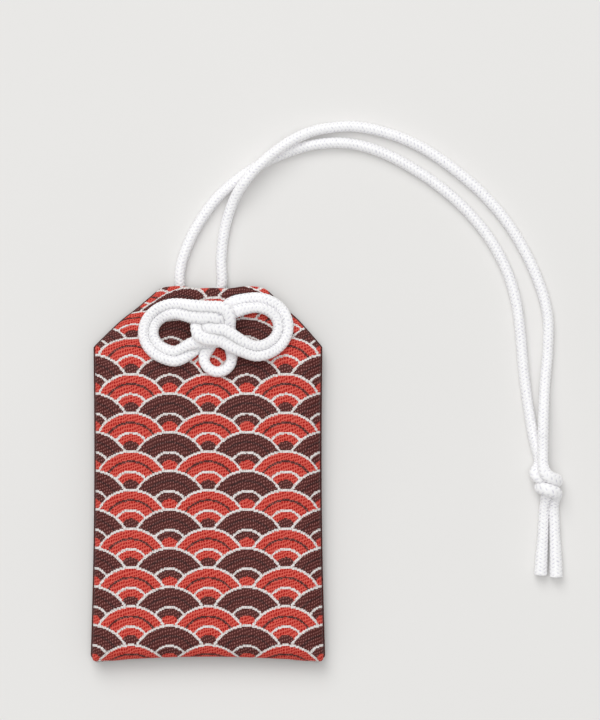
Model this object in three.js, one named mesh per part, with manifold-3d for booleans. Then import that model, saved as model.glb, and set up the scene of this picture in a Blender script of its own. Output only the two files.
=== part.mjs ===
// Omamori charm: a padded brocade pouch that holds a wrapped wooden slip, closed by one braided cord.
// The cord is tied on the front in a double bow knot, passes through the pouch, and runs out behind the
// mouth as a hanging loop that ends in an overhand knot with two tails.
// Millimetres. The charm lies on its back: +X right, +Y towards the mouth, +Z out of the front.
// The origin is the middle of the pouch, on the surface that it lies on.

import * as THREE from 'three';
import { mergeVertices } from 'three/addons/utils/BufferGeometryUtils.js';
import Module from 'manifold-3d';

const wasm = await Module();
wasm.setup();

// Pouch outline
const POUCH_HEIGHT = 74.4;
const FOOT_WIDTH = 46.8;
const SHOULDER_WIDTH = 45.6;
const MOUTH_WIDTH = 21.6;
const SHOULDER_DROP = 11.6;
const SIDE_DRAW = 0.4;
const FOOT_ARCH = 1.1;
const FOOT_CORNER_RADIUS = 1.2;
const SEAM_SHOW = 0.5;

// Cloth and padding
const CLOTH_THICKNESS = 0.5;
const INTERLINING_THICKNESS = 0.2;
const PILLOW_EDGE = 7;
const HEAD_LENGTH = 8.7;
const HEAD_TAPER = 9.5;
const HEAD_SWELL = 0.2;

// Contents of the pouch
const CARD_PLAY = 0.6;
const CARD_THICKNESS = 0.6;
const CARD_CORNER_RADIUS = 3;
const SLIP_WIDTH = 22;
const SLIP_LENGTH = 40;
const SLIP_THICKNESS = 0.8;
const SLIP_POINT_LENGTH = 5;
const PAPER_THICKNESS = 0.25;
const WRAPPER_OVERHANG = 2;
const CHARM_PLAY = 0.45;

// Gaps between pieces that touch on the real charm
const LAYER_GAP = 0.3;
const SEAM_GAP = 0.3;
const CORD_CLEARANCE = 0.3;
const SURFACE_GAP = 0.05;

// Cord, lying free and drawn tight in its knots
const CORD_DIAMETER = 2.1;
const TIGHT_CORD_DIAMETER = 1.7;
const LANE_GAP = 0.5;
const CORD_SIDES = 8;
const KNOT_SIDES = 6;

// Bow knot on the front
const KNOT_X = 1;
const KNOT_BELOW_MOUTH = 6.9;
const KNOT_HALF_CORE = 1.38;
const KNOT_STEP = 1.2;
const LEFT_EAR_NECK = 7.6;
const LEFT_EAR_REACH = 13.8;
const LEFT_EAR_HEIGHT = 11.34;
const LEFT_EAR_DROOP = 1.82;
const RIGHT_EAR_NECK = 8.6;
const RIGHT_EAR_REACH = 15;
const RIGHT_EAR_HEIGHT = 11.56;
const RIGHT_EAR_DROOP = 0.72;
const SMALL_LOOP_X = 1.04;
const SMALL_LOOP_RADIUS = 2.78;
const SMALL_LOOP_DROP = 9.76;
const LEG_X = -1;
const LEG_SPACING = 2.4;
const LEG_MIDDLE_Y = 0.65;
const LEG_BEND = 1.3;

// End knot and tails
const END_KNOT_X = 67.45;
const END_KNOT_BELOW_MOUTH = 38.9;
const END_KNOT_TURNS = 2;
const END_KNOT_BAND = 1.65;
const END_KNOT_BAND_GAP = 0.65;
const END_KNOT_BAND_DEPTH = 1.2;
const END_KNOT_CORE_DIAMETER = 1.5;
const END_KNOT_CORE_SPACING = 1.86;
const TAIL_LENGTH = 15.8;
const TAIL_SETTLE = 5;
const TAIL_SPREAD = 0.3;
const TAIL_END_DIAMETER = 2.4;

// Values that follow from the sizes above
const HALF_HEIGHT = POUCH_HEIGHT / 2;
const SHOULDER_Y = HALF_HEIGHT - SHOULDER_DROP;
const HEAD_START_Y = HALF_HEIGHT - HEAD_LENGTH - HEAD_TAPER;
const CORD_RADIUS = CORD_DIAMETER / 2;
const TIGHT_RADIUS = TIGHT_CORD_DIAMETER / 2;
const LANE_PITCH = TIGHT_CORD_DIAMETER + LANE_GAP;
const STRAND_Z = CORD_RADIUS + SURFACE_GAP;
const HEAD_BACK_Z = SURFACE_GAP + CORD_DIAMETER + CORD_CLEARANCE;
const SEAM_Z = HEAD_BACK_Z + HEAD_SWELL + CLOTH_THICKNESS + SEAM_GAP / 2;
const FRONT_RIM_Z = SEAM_Z + SEAM_GAP / 2;
const BACK_RIM_Z = SEAM_Z - SEAM_GAP / 2;
const BACK_SWELL = BACK_RIM_Z - CLOTH_THICKNESS;
const CARD_Z = CLOTH_THICKNESS + INTERLINING_THICKNESS + 2 * LAYER_GAP;
const WRAPPER_Z = CARD_Z + CARD_THICKNESS + LAYER_GAP;
const WRAPPER_DEPTH = SLIP_THICKNESS + 2 * LAYER_GAP + 2 * PAPER_THICKNESS;
const WRAPPER_WIDTH = SLIP_WIDTH + 2 * LAYER_GAP + 2 * PAPER_THICKNESS;
const WRAPPER_LENGTH = SLIP_LENGTH + 2 * WRAPPER_OVERHANG;
const FRONT_LINING_Z = WRAPPER_Z + WRAPPER_DEPTH + CHARM_PLAY;
const FRONT_SWELL = FRONT_LINING_Z + INTERLINING_THICKNESS + LAYER_GAP - FRONT_RIM_Z;
const CONTENTS_Y = -HALF_HEIGHT + FOOT_ARCH + PILLOW_EDGE + CARD_PLAY;
const CARD_WIDTH = SHOULDER_WIDTH - 2 * (SEAM_SHOW + SIDE_DRAW + PILLOW_EDGE + CARD_PLAY);
const CARD_LENGTH = HEAD_START_Y - CARD_PLAY - CONTENTS_Y;
const KNOT_Y = HALF_HEIGHT - KNOT_BELOW_MOUTH;

const smooth = (low, high, value) => THREE.MathUtils.smoothstep(value, low, high);
const mix = THREE.MathUtils.lerp;

// Half the pouch's width at a height, with sides drawn in, round foot corners and cut-off shoulders
function halfWidth(y) {
  const footY = -HALF_HEIGHT;
  if (y > SHOULDER_Y) {
    return mix(SHOULDER_WIDTH, MOUTH_WIDTH, (y - SHOULDER_Y) / SHOULDER_DROP) / 2;
  }
  const along = (y - footY) / (SHOULDER_Y - footY);
  const side = mix(FOOT_WIDTH, SHOULDER_WIDTH, along) / 2 - SIDE_DRAW * Math.sin(Math.PI * along);
  const intoCorner = Math.max(FOOT_CORNER_RADIUS - (y - footY), 0);
  return side - FOOT_CORNER_RADIUS + Math.sqrt(FOOT_CORNER_RADIUS ** 2 - intoCorner ** 2);
}

// Rows of points across the pouch, closer together near its edges
const BODY_ROWS = 18;
const HEAD_ROWS = 6;
const COLUMNS = 16;
const ROW_CROWDING = 1.5;
const ARCH_FADING = 4;

function pouchGrid(inset) {
  const rows = [];
  for (let row = 0; row <= BODY_ROWS + HEAD_ROWS; row += 1) {
    const inBody = Math.min(row / BODY_ROWS, 1) ** ROW_CROWDING;
    const inHead = Math.max(row - BODY_ROWS, 0) / HEAD_ROWS;
    const y = mix(-HALF_HEIGHT, SHOULDER_Y, inBody) + SHOULDER_DROP * Math.sin((inHead * Math.PI) / 2);
    const points = [];
    for (let column = 0; column <= COLUMNS; column += 1) {
      const across = Math.sin(((column / COLUMNS) * 2 - 1) * (Math.PI / 2));
      const arch = FOOT_ARCH * (1 - across ** 2) * (1 - inBody) ** ARCH_FADING;
      points.push(new THREE.Vector2(across * (halfWidth(y) - inset), y + arch));
    }
    rows.push(points);
  }
  return rows;
}

function gridEdge(rows) {
  const last = rows.length - 1;
  const right = rows.map((row) => row[COLUMNS]);
  const left = rows.map((row) => row[0]).reverse();
  return [...rows[0], ...right.slice(1), ...rows[last].slice(0, -1).reverse(), ...left.slice(1, -1)];
}

const FRONT_GRID = pouchGrid(SEAM_SHOW);
const BACK_GRID = pouchGrid(0);
const FRONT_EDGE = gridEdge(FRONT_GRID);
const BACK_EDGE = gridEdge(BACK_GRID);

function edgeDistance(edge, x, y) {
  const point = new THREE.Vector2(x, y);
  const side = new THREE.Vector2();
  const reach = new THREE.Vector2();
  let least = Infinity;
  edge.forEach((start, index) => {
    side.subVectors(edge[(index + 1) % edge.length], start);
    reach.subVectors(point, start);
    const along = THREE.MathUtils.clamp(reach.dot(side) / side.lengthSq(), 0, 1);
    least = Math.min(least, reach.addScaledVector(side, -along).length());
  });
  return least;
}

// The padding swells from the seam towards the middle, and falls away to the flat head by the mouth
function swell(edge, x, y, bodySwell) {
  const fullness = Math.sin((Math.PI / 2) * Math.min(edgeDistance(edge, x, y) / PILLOW_EDGE, 1));
  return fullness * mix(bodySwell, HEAD_SWELL, smooth(HEAD_START_Y, HEAD_START_Y + HEAD_TAPER, y));
}

const frontInside = (x, y) => FRONT_RIM_Z + swell(FRONT_EDGE, x, y, FRONT_SWELL);
const frontOutside = (x, y) => frontInside(x, y) + CLOTH_THICKNESS;
const backInside = (x, y) => BACK_RIM_Z - swell(BACK_EDGE, x, y, BACK_SWELL);
const backOutside = (x, y) => Math.max(backInside(x, y) - CLOTH_THICKNESS, 0);

function meshGeometry(positions, indices) {
  const geometry = new THREE.BufferGeometry();
  geometry.setAttribute('position', new THREE.Float32BufferAttribute(positions, 3));
  geometry.setIndex(indices);
  geometry.computeVertexNormals();
  return geometry;
}

// A sheet of cloth or paper over a grid of points, between an upper and a lower surface
function sheetGeometry(rows, upperZ, lowerZ) {
  const perRow = rows[0].length;
  const count = rows.length * perRow;
  const flat = rows.flat();
  const upper = flat.flatMap((point) => [point.x, point.y, upperZ(point.x, point.y)]);
  const lower = flat.flatMap((point) => [point.x, point.y, lowerZ(point.x, point.y)]);
  const indices = [];
  const quad = (a, b, c, d) => indices.push(a, b, c, a, c, d);
  for (let row = 0; row + 1 < rows.length; row += 1) {
    for (let column = 0; column + 1 < perRow; column += 1) {
      const corner = row * perRow + column;
      const above = corner + perRow;
      quad(corner, corner + 1, above + 1, above);
      quad(count + corner, count + above, count + above + 1, count + corner + 1);
    }
  }
  const wall = (from, to) => quad(count + from, count + to, to, from);
  for (let column = 0; column + 1 < perRow; column += 1) {
    const top = count - perRow + column;
    wall(column, column + 1);
    wall(top + 1, top);
  }
  for (let row = 0; row + 1 < rows.length; row += 1) {
    const left = row * perRow;
    const right = left + perRow - 1;
    wall(left + perRow, left);
    wall(right, right + perRow);
  }
  return meshGeometry([...upper, ...lower], indices);
}

// Cuts one closed geometry out of another
function solidOf(geometry) {
  const bare = geometry.clone();
  bare.deleteAttribute('normal');
  bare.deleteAttribute('uv');
  const merged = mergeVertices(bare);
  const vertProperties = new Float32Array(merged.attributes.position.array);
  const triVerts = new Uint32Array(merged.index.array);
  return new wasm.Manifold(new wasm.Mesh({ numProp: 3, vertProperties, triVerts }));
}

function cut(geometry, tool) {
  const mesh = solidOf(geometry).subtract(solidOf(tool)).getMesh();
  return meshGeometry(mesh.vertProperties, [...mesh.triVerts]);
}

// Slit behind the bow knot that both legs of the cord pass through
const CORNER_STEPS = 6;

function slitTool() {
  const radius = TIGHT_RADIUS + CORD_CLEARANCE;
  const half = LEG_SPACING / 2;
  const slit = new THREE.Shape();
  slit.absarc(0, half, radius, 0, Math.PI);
  slit.absarc(0, -half, radius, Math.PI, 2 * Math.PI);
  const depth = FRONT_RIM_Z + HEAD_SWELL + CLOTH_THICKNESS + CORD_DIAMETER;
  const tool = new THREE.ExtrudeGeometry(slit, { depth, bevelEnabled: false, curveSegments: CORNER_STEPS });
  return tool.translate(KNOT_X + LEG_X, KNOT_Y + LEG_MIDDLE_Y, 0);
}

// Interlinings stop short of the seams and below the head
const LINING_INSET = 3.6;
const LINING_HEAD_CLEARANCE = 1;
const LINING_COLUMNS = 12;
const LINING_ROWS = 14;

function liningGrid() {
  const width = FOOT_WIDTH - 2 * (LINING_INSET + SEAM_SHOW + SIDE_DRAW);
  const lowY = -HALF_HEIGHT + LINING_INSET;
  const highY = HEAD_START_Y - LINING_HEAD_CLEARANCE;
  const rows = [];
  for (let row = 0; row <= LINING_ROWS; row += 1) {
    const y = mix(lowY, highY, (row / LINING_ROWS) ** ROW_CROWDING);
    const points = [];
    for (let column = 0; column <= LINING_COLUMNS; column += 1) {
      const across = Math.sin((column / LINING_COLUMNS - 0.5) * Math.PI);
      points.push(new THREE.Vector2((across * width) / 2, y));
    }
    rows.push(points);
  }
  return rows;
}

function frontInterlining() {
  const upper = (x, y) => frontInside(x, y) - LAYER_GAP;
  return sheetGeometry(liningGrid(), upper, (x, y) => upper(x, y) - INTERLINING_THICKNESS);
}

function backInterlining() {
  const lower = (x, y) => backInside(x, y) + LAYER_GAP;
  return sheetGeometry(liningGrid(), (x, y) => lower(x, y) + INTERLINING_THICKNESS, lower);
}

function roundedRectangle(width, length, radius) {
  const shape = new THREE.Shape();
  const right = width / 2 - radius;
  const top = length - radius;
  shape.absarc(right, radius, radius, -Math.PI / 2, 0);
  shape.absarc(right, top, radius, 0, Math.PI / 2);
  shape.absarc(-right, top, radius, Math.PI / 2, Math.PI);
  shape.absarc(-right, radius, radius, Math.PI, 1.5 * Math.PI);
  return shape;
}

function stiffenerCard() {
  const shape = roundedRectangle(CARD_WIDTH, CARD_LENGTH, CARD_CORNER_RADIUS);
  const options = { depth: CARD_THICKNESS, bevelEnabled: false, curveSegments: CORNER_STEPS };
  return new THREE.ExtrudeGeometry(shape, options).translate(0, CONTENTS_Y, CARD_Z);
}

// Paper folded round the slip into a flat sleeve, open at both ends
function rectangle(width, depth) {
  const corners = [[-1, -1], [1, -1], [1, 1], [-1, 1]];
  return corners.map(([x, z]) => new THREE.Vector2((x * width) / 2, (z * depth) / 2));
}

function charmWrapper() {
  const sleeve = new THREE.Shape(rectangle(WRAPPER_WIDTH, WRAPPER_DEPTH));
  const walls = 2 * PAPER_THICKNESS;
  sleeve.holes.push(new THREE.Path(rectangle(WRAPPER_WIDTH - walls, WRAPPER_DEPTH - walls).reverse()));
  const tube = new THREE.ExtrudeGeometry(sleeve, { depth: WRAPPER_LENGTH, bevelEnabled: false });
  return tube.rotateX(Math.PI / 2).translate(0, CONTENTS_Y + WRAPPER_LENGTH, WRAPPER_Z + WRAPPER_DEPTH / 2);
}

// Thin wooden slip with a pointed head
function prayerSlip() {
  const half = SLIP_WIDTH / 2;
  const shoulder = SLIP_LENGTH - SLIP_POINT_LENGTH;
  const corners = [[-half, 0], [half, 0], [half, shoulder], [0, SLIP_LENGTH], [-half, shoulder]];
  const shape = new THREE.Shape(corners.map(([x, y]) => new THREE.Vector2(x, y)));
  const slip = new THREE.ExtrudeGeometry(shape, { depth: SLIP_THICKNESS, bevelEnabled: false });
  return slip.translate(0, CONTENTS_Y + WRAPPER_OVERHANG, WRAPPER_Z + PAPER_THICKNESS + LAYER_GAP);
}

// Sweeps a closed tube along points; sectionAt gives the section's two half axes at each step
function sweptTube(points, sides, sectionAt, firstNormal) {
  const last = points.length - 1;
  const positions = [];
  const indices = [];
  const normal = firstNormal.clone();
  points.forEach((point, step) => {
    const ahead = points[Math.min(step + 1, last)];
    const behind = points[Math.max(step - 1, 0)];
    const tangent = new THREE.Vector3().subVectors(ahead, behind).normalize();
    normal.addScaledVector(tangent, -normal.dot(tangent)).normalize();
    const binormal = new THREE.Vector3().crossVectors(tangent, normal);
    const [alongNormal, alongBinormal] = sectionAt(step / last);
    for (let side = 0; side < sides; side += 1) {
      const angle = (side / sides) * 2 * Math.PI;
      const corner = point.clone().addScaledVector(normal, alongNormal * Math.cos(angle));
      corner.addScaledVector(binormal, alongBinormal * Math.sin(angle));
      positions.push(...corner.toArray());
    }
  });
  const startCentre = positions.length / 3;
  positions.push(...points[0].toArray(), ...points[last].toArray());
  for (let side = 0; side < sides; side += 1) {
    const next = (side + 1) % sides;
    for (let step = 0; step < last; step += 1) {
      const ring = step * sides;
      const nextRing = ring + sides;
      indices.push(ring + side, ring + next, nextRing + next, ring + side, nextRing + next, nextRing + side);
    }
    indices.push(startCentre, next, side, startCentre + 1, last * sides + side, last * sides + next);
  }
  return meshGeometry(positions, indices);
}

// Least clear gap of a tube to itself, between points that are a few diameters apart along it
const NEAR_DIAMETERS = 2.5;

function selfGap(points, diameter) {
  const along = [0];
  points.forEach((point, index) => {
    if (index > 0) {
      along.push(along[index - 1] + point.distanceTo(points[index - 1]));
    }
  });
  let least = Infinity;
  points.forEach((point, index) => {
    for (let other = index + 1; other < points.length; other += 1) {
      if (along[other] - along[index] > NEAR_DIAMETERS * diameter) {
        least = Math.min(least, point.distanceTo(points[other]));
      }
    }
  });
  return least - diameter;
}

// Shares of the bow knot's own sizes that place its turns
const SHARE = {
  weaveRise: 1.57, earClimb: 0.85, innerEarShrink: 1.1, rowTurn: 0.55, rowCorner: 0.3, returnCorner: 0.2,
  columnSink: 0.2, columnUnder: 0.72, columnDive: 1.5, diveStart: 0.95, diveRise: 0.3, leftFlank: 1.35,
  rightFlank: 1.1, legTurn: 0.27,
};

// Bow knot: two interlocked coils of two turns, whose outer turns come in from behind the heart
const restZ = (x, y) => frontOutside(KNOT_X + x, KNOT_Y + y) + CORD_CLEARANCE + TIGHT_RADIUS;
const KNOT_OUTER = KNOT_HALF_CORE + LANE_PITCH;
const KNOT_ENTRY = KNOT_OUTER + LANE_GAP + CORD_CLEARANCE;
const BEHIND_Z = restZ(-KNOT_OUTER, -KNOT_ENTRY);
const UNDER_Z = BEHIND_Z + LANE_PITCH + SURFACE_GAP;
const OVER_Z = UNDER_Z + SHARE.weaveRise * LANE_PITCH;

const LEFT_EAR = {
  neck: LEFT_EAR_NECK, reach: LEFT_EAR_REACH, height: LEFT_EAR_HEIGHT, droop: LEFT_EAR_DROOP,
};
const RIGHT_EAR = {
  neck: RIGHT_EAR_NECK, reach: RIGHT_EAR_REACH, height: RIGHT_EAR_HEIGHT, droop: RIGHT_EAR_DROOP,
};

const EAR_STEPS = 6;
const OUTER_ROW = { size: KNOT_OUTER, splay: 0.2, cornerRise: 0.95, columnRise: 0.62 };
const INNER_ROW = { size: KNOT_HALF_CORE, splay: 0, cornerRise: 0.8, columnRise: 0.42 };

// One loop of an ear, from its lower to its upper end: it lies on the pouch and climbs to its ends
function earLoop(sign, ear, lane, lowZ, highZ) {
  const halfX = ear.reach - ear.neck - lane * LANE_PITCH;
  const halfY = ear.height / 2 - SHARE.innerEarShrink * lane * LANE_PITCH;
  const points = [];
  for (let step = 0; step <= EAR_STEPS; step += 1) {
    const angle = Math.PI * (step / EAR_STEPS - 0.5);
    const x = sign * (ear.neck + halfX * Math.cos(angle));
    const y = halfY * Math.sin(angle) - ear.droop;
    const rest = restZ(x, y);
    const climb = SHARE.earClimb * Math.sin(angle) ** 2;
    points.push([x, y, Math.max(rest, mix(rest, angle < 0 ? lowZ : highZ, climb))]);
  }
  return points;
}

// Half of the heart: a coil runs over its top row, down its far column and under the other coil
function heartHook(sign, row) {
  const turn = row.size - SHARE.rowTurn * LANE_PITCH;
  const corner = row.size - SHARE.rowCorner * LANE_PITCH;
  return [
    [-sign * KNOT_ENTRY, sign * (row.size + row.splay * LANE_PITCH), OVER_Z],
    [-sign * KNOT_HALF_CORE, sign * row.size, OVER_Z],
    [sign * turn, sign * row.size, OVER_Z],
    [sign * corner, sign * corner, mix(UNDER_Z, OVER_Z, row.cornerRise)],
    [sign * row.size, sign * SHARE.columnSink * row.size, mix(UNDER_Z, OVER_Z, row.columnRise)],
    [sign * row.size, -sign * SHARE.columnUnder * KNOT_HALF_CORE, UNDER_Z],
  ];
}

// The outer turn goes on under the other coil, back to its own ear
function returnRow(sign) {
  const corner = KNOT_OUTER - SHARE.returnCorner * LANE_PITCH;
  return [
    [sign * corner, -sign * corner, UNDER_Z],
    [sign * KNOT_HALF_CORE, -sign * KNOT_OUTER, UNDER_Z],
    [-sign * KNOT_OUTER, -sign * KNOT_OUTER, UNDER_Z],
  ];
}

// A leg of the cord turns from its strand behind the pouch, up through the slit and behind the heart
const LOWER_LEG = {
  y: LEG_MIDDLE_Y - LEG_SPACING / 2,
  outward: new THREE.Vector2(-0.9, 0.44).normalize(),
  inward: new THREE.Vector2(-0.55, -0.83).normalize(),
};
const UPPER_LEG = {
  y: LEG_MIDDLE_Y + LEG_SPACING / 2,
  outward: new THREE.Vector2(0.35, 0.94).normalize(),
  inward: new THREE.Vector2(-0.2, -1).normalize(),
};

function legPoints(leg) {
  const turn = SHARE.legTurn * LEG_BEND;
  const at = (direction, reach, z) => [LEG_X + direction.x * reach, leg.y + direction.y * reach, z];
  return [
    at(leg.outward, LEG_BEND + TIGHT_CORD_DIAMETER, STRAND_Z),
    at(leg.outward, LEG_BEND, STRAND_Z),
    at(leg.outward, turn, STRAND_Z + turn),
    at(leg.outward, 0, STRAND_Z + LEG_BEND),
    at(leg.inward, 0, BEHIND_Z - LEG_BEND),
    at(leg.inward, turn, BEHIND_Z - turn),
    at(leg.inward, LEG_BEND, BEHIND_Z),
  ];
}

function bowKnotRoute() {
  const laid = (x, y) => [x, y, Math.max(restZ(x, y), BEHIND_Z)];
  const leftEar = (lane, lowZ) => earLoop(-1, LEFT_EAR, lane, lowZ, OVER_Z);
  const rightEar = (lane, highZ) => earLoop(1, RIGHT_EAR, lane, OVER_Z, highZ).reverse();
  const smallLoopY = SMALL_LOOP_RADIUS - SMALL_LOOP_DROP;
  const smallLoop = [];
  for (let step = 0; step <= EAR_STEPS; step += 1) {
    const angle = Math.PI * (1 + step / EAR_STEPS);
    const x = SMALL_LOOP_X + SMALL_LOOP_RADIUS * Math.cos(angle);
    smallLoop.push(laid(x, smallLoopY + SMALL_LOOP_RADIUS * Math.sin(angle)));
  }
  const diveZ = mix(BEHIND_Z, UNDER_Z, SHARE.diveRise);
  const dive = [
    [SHARE.diveStart * KNOT_HALF_CORE, -SHARE.columnDive * KNOT_HALF_CORE, diveZ],
    laid(SHARE.diveRise * KNOT_HALF_CORE, -KNOT_OUTER),
  ];
  const local = [
    ...legPoints(LOWER_LEG),
    laid(-KNOT_OUTER, -SHARE.leftFlank * KNOT_OUTER),
    ...leftEar(0, BEHIND_Z),
    ...heartHook(1, OUTER_ROW),
    ...returnRow(1),
    ...leftEar(1, UNDER_Z),
    ...heartHook(1, INNER_ROW),
    ...dive,
    ...smallLoop,
    laid(KNOT_OUTER, -KNOT_OUTER),
    laid(KNOT_OUTER, 0),
    laid(SHARE.rightFlank * KNOT_OUTER, KNOT_OUTER),
    ...rightEar(0, BEHIND_Z),
    ...heartHook(-1, OUTER_ROW),
    ...returnRow(-1),
    ...rightEar(1, UNDER_Z),
    ...heartHook(-1, INNER_ROW),
    ...legPoints(UPPER_LEG).reverse().slice(2),
  ];
  const points = local.map(([x, y, z]) => new THREE.Vector3(KNOT_X + x, KNOT_Y + y, z));
  const curve = new THREE.CatmullRomCurve3(points, false, 'centripetal');
  return curve.getSpacedPoints(Math.round(curve.getLength() / KNOT_STEP));
}

const bowKnotPoints = bowKnotRoute();
const UP = new THREE.Vector3(0, 0, 1);

function bowKnot() {
  return sweptTube(bowKnotPoints, KNOT_SIDES, () => [TIGHT_RADIUS, TIGHT_RADIUS], UP);
}

// Hanging loop: the right strand leaves the mouth, rides over the left one and becomes the outer strand
const END_KNOT_Y = HALF_HEIGHT - END_KNOT_BELOW_MOUTH;
const END_KNOT_Z = END_KNOT_CORE_DIAMETER / 2 + CORD_CLEARANCE + END_KNOT_BAND_DEPTH + SURFACE_GAP;
const END_KNOT_PITCH = END_KNOT_BAND + END_KNOT_BAND_GAP;
const END_KNOT_HALF = (END_KNOT_TURNS * END_KNOT_PITCH + END_KNOT_BAND) / 2;
const RIDE = CORD_DIAMETER + CORD_CLEARANCE;

// Points of each strand: across, beyond the mouth, and how far it rides up on the other strand
const LEFT_ROUTE = [
  [-5.6, 0.3, 0], [-5.6, 3.75, 0], [-3.75, 9.6, 0], [0.8, 17, 0], [5.45, 21.55, 0], [10.35, 24.8, 0],
  [15.5, 27.15, 0], [20.4, 28.65, 0], [26.35, 29.2, 0], [31.2, 28.45, 0], [35.15, 27.1, 0],
  [40.05, 24.6, 0], [45.25, 21.2, 0], [50.3, 17, 0], [55.35, 11.3, 0], [59.2, 4.7, 0],
  [61.45, -2.2, 0], [62.4, -9.2, 0], [63.05, -16.7, 0], [63.9, -23.2, 0], [64.9, -29.2, 0],
];
const RIGHT_ROUTE = [
  [2.7, 0.8, 0], [2.6, 5.8, 0], [3.25, 11.75, 0], [4.9, 17.15, 0.35], [7.4, 21.45, 1], [11.2, 25.5, 1],
  [15.8, 29, 1], [20.6, 31.35, 0.3], [25.4, 32.3, 0], [29.75, 32.4, 0], [35.2, 31.3, 0],
  [40.1, 29.55, 0], [45.05, 26.85, 0], [50.05, 23.2, 0], [54.95, 18.9, 0], [59.95, 13, 0],
  [63.8, 6.5, 0], [66.65, -0.4, 0], [67.85, -5.7, 0], [67.85, -12.2, 0], [67.2, -19.2, 0.4],
  [66.85, -26.2, 1],
];
const LEFT_STRAND = { leg: LOWER_LEG, route: LEFT_ROUTE, entry: -1.75, rise: 0 };
const RIGHT_STRAND = { leg: UPPER_LEG, route: RIGHT_ROUTE, entry: -0.5, rise: 1 };

function strandPoints(strand) {
  const reach = LEG_BEND + TIGHT_CORD_DIAMETER + CORD_CLEARANCE;
  const legAt = (along) => {
    const x = KNOT_X + LEG_X + strand.leg.outward.x * along;
    return [x, KNOT_Y + strand.leg.y + strand.leg.outward.y * along, STRAND_Z];
  };
  const onRoute = ([x, y, rise]) => [x, HALF_HEIGHT + y, STRAND_Z + rise * RIDE];
  const endX = END_KNOT_X + strand.entry;
  const endY = END_KNOT_Y + END_KNOT_HALF + CORD_CLEARANCE;
  const endZ = STRAND_Z + strand.rise * RIDE;
  const points = [
    legAt(reach),
    legAt(reach + CORD_DIAMETER),
    ...strand.route.map(onRoute),
    [endX, endY + CORD_DIAMETER, endZ],
    [endX, endY, endZ],
  ];
  return points.map((point) => new THREE.Vector3(...point));
}

function loopStrand(strand) {
  const drawn = new THREE.CatmullRomCurve3(strandPoints(strand), false, 'centripetal');
  const steps = Math.round(drawn.getLength() / (2 * CORD_DIAMETER));
  const lying = drawn.getSpacedPoints(steps).map((point) => point.setZ(Math.max(point.z, STRAND_Z)));
  const extrudePath = new THREE.CatmullRomCurve3(lying, false, 'centripetal');
  const corners = [];
  for (let side = 0; side < CORD_SIDES; side += 1) {
    const angle = (side / CORD_SIDES) * 2 * Math.PI;
    corners.push(new THREE.Vector2(CORD_RADIUS * Math.cos(angle), CORD_RADIUS * Math.sin(angle)));
  }
  return new THREE.ExtrudeGeometry(new THREE.Shape(corners), { extrudePath, steps, bevelEnabled: false });
}

// End knot: the bands that the strands make round each other, drawn tight
const STEPS_PER_TURN = 24;

function endKnotPoints() {
  const halfX = (END_KNOT_CORE_SPACING + END_KNOT_CORE_DIAMETER + END_KNOT_BAND_DEPTH) / 2 + CORD_CLEARANCE;
  const halfZ = (END_KNOT_CORE_DIAMETER + END_KNOT_BAND_DEPTH) / 2 + CORD_CLEARANCE;
  const points = [];
  for (let step = 0; step <= END_KNOT_TURNS * STEPS_PER_TURN; step += 1) {
    const turn = step / STEPS_PER_TURN;
    const angle = 2 * Math.PI * turn - Math.PI / 2;
    const y = END_KNOT_HALF - END_KNOT_BAND / 2 - turn * END_KNOT_PITCH;
    points.push(new THREE.Vector3(halfX * Math.cos(angle), y, halfZ * Math.sin(angle)));
  }
  const lead = new THREE.Vector3(END_KNOT_BAND_DEPTH, 0, 0);
  points.unshift(points[0].clone().sub(lead));
  points.push(points[points.length - 1].clone().add(lead));
  return points;
}

const endKnotRoute = endKnotPoints();

function endKnot() {
  const section = () => [END_KNOT_BAND / 2, END_KNOT_BAND_DEPTH / 2];
  const band = sweptTube(endKnotRoute, KNOT_SIDES, section, new THREE.Vector3(0, 1, 0));
  return band.translate(END_KNOT_X, END_KNOT_Y, END_KNOT_Z);
}

// A tail starts inside the end knot, swells out below it and lies down to its cut end
const TAIL_STEPS = 12;

function tail(sign) {
  const topY = END_KNOT_Y + END_KNOT_HALF - CORD_CLEARANCE;
  const outY = END_KNOT_Y - END_KNOT_HALF;
  const coreX = END_KNOT_X + (sign * END_KNOT_CORE_SPACING) / 2;
  const restX = END_KNOT_X + (sign * (TAIL_END_DIAMETER + CORD_CLEARANCE)) / 2;
  const endZ = TAIL_END_DIAMETER / 2 + SURFACE_GAP;
  const endY = outY - TAIL_LENGTH;
  const route = [];
  for (let step = 0; step <= TAIL_STEPS; step += 1) {
    const y = mix(topY, endY, step / TAIL_STEPS);
    const lying = smooth(0, TAIL_SETTLE, outY - y);
    const x = mix(coreX, restX, lying) + sign * TAIL_SPREAD * smooth(TAIL_SETTLE, TAIL_LENGTH, outY - y);
    route.push(new THREE.Vector3(x, y, mix(END_KNOT_Z, endZ, lying)));
  }
  const radiusAt = (along) => {
    const below = outY - mix(topY, endY, along);
    return mix(END_KNOT_CORE_DIAMETER, TAIL_END_DIAMETER, smooth(0, TAIL_SETTLE, below)) / 2;
  };
  return sweptTube(route, CORD_SIDES, (along) => [radiusAt(along), radiusAt(along)], UP);
}

console.log(`bow knot least gap to itself ${selfGap(bowKnotPoints, TIGHT_CORD_DIAMETER).toFixed(2)} mm`);
console.log(`end knot least gap to itself ${selfGap(endKnotRoute, END_KNOT_BAND).toFixed(2)} mm`);

// Finishes
const brocade = { color: '#b8443a', roughness: 0.7, metalness: 0 };
const darkCloth = { color: '#4a2422', roughness: 0.8, metalness: 0 };
const interlining = { color: '#dcd8cf', roughness: 0.95, metalness: 0 };
const card = { color: '#c9b99a', roughness: 0.9, metalness: 0 };
const paper = { color: '#f2f0ea', roughness: 0.9, metalness: 0 };
const cypress = { color: '#d9b98a', roughness: 0.6, metalness: 0 };
const cordSilk = { color: '#f0eff3', roughness: 0.6, metalness: 0 };

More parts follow.
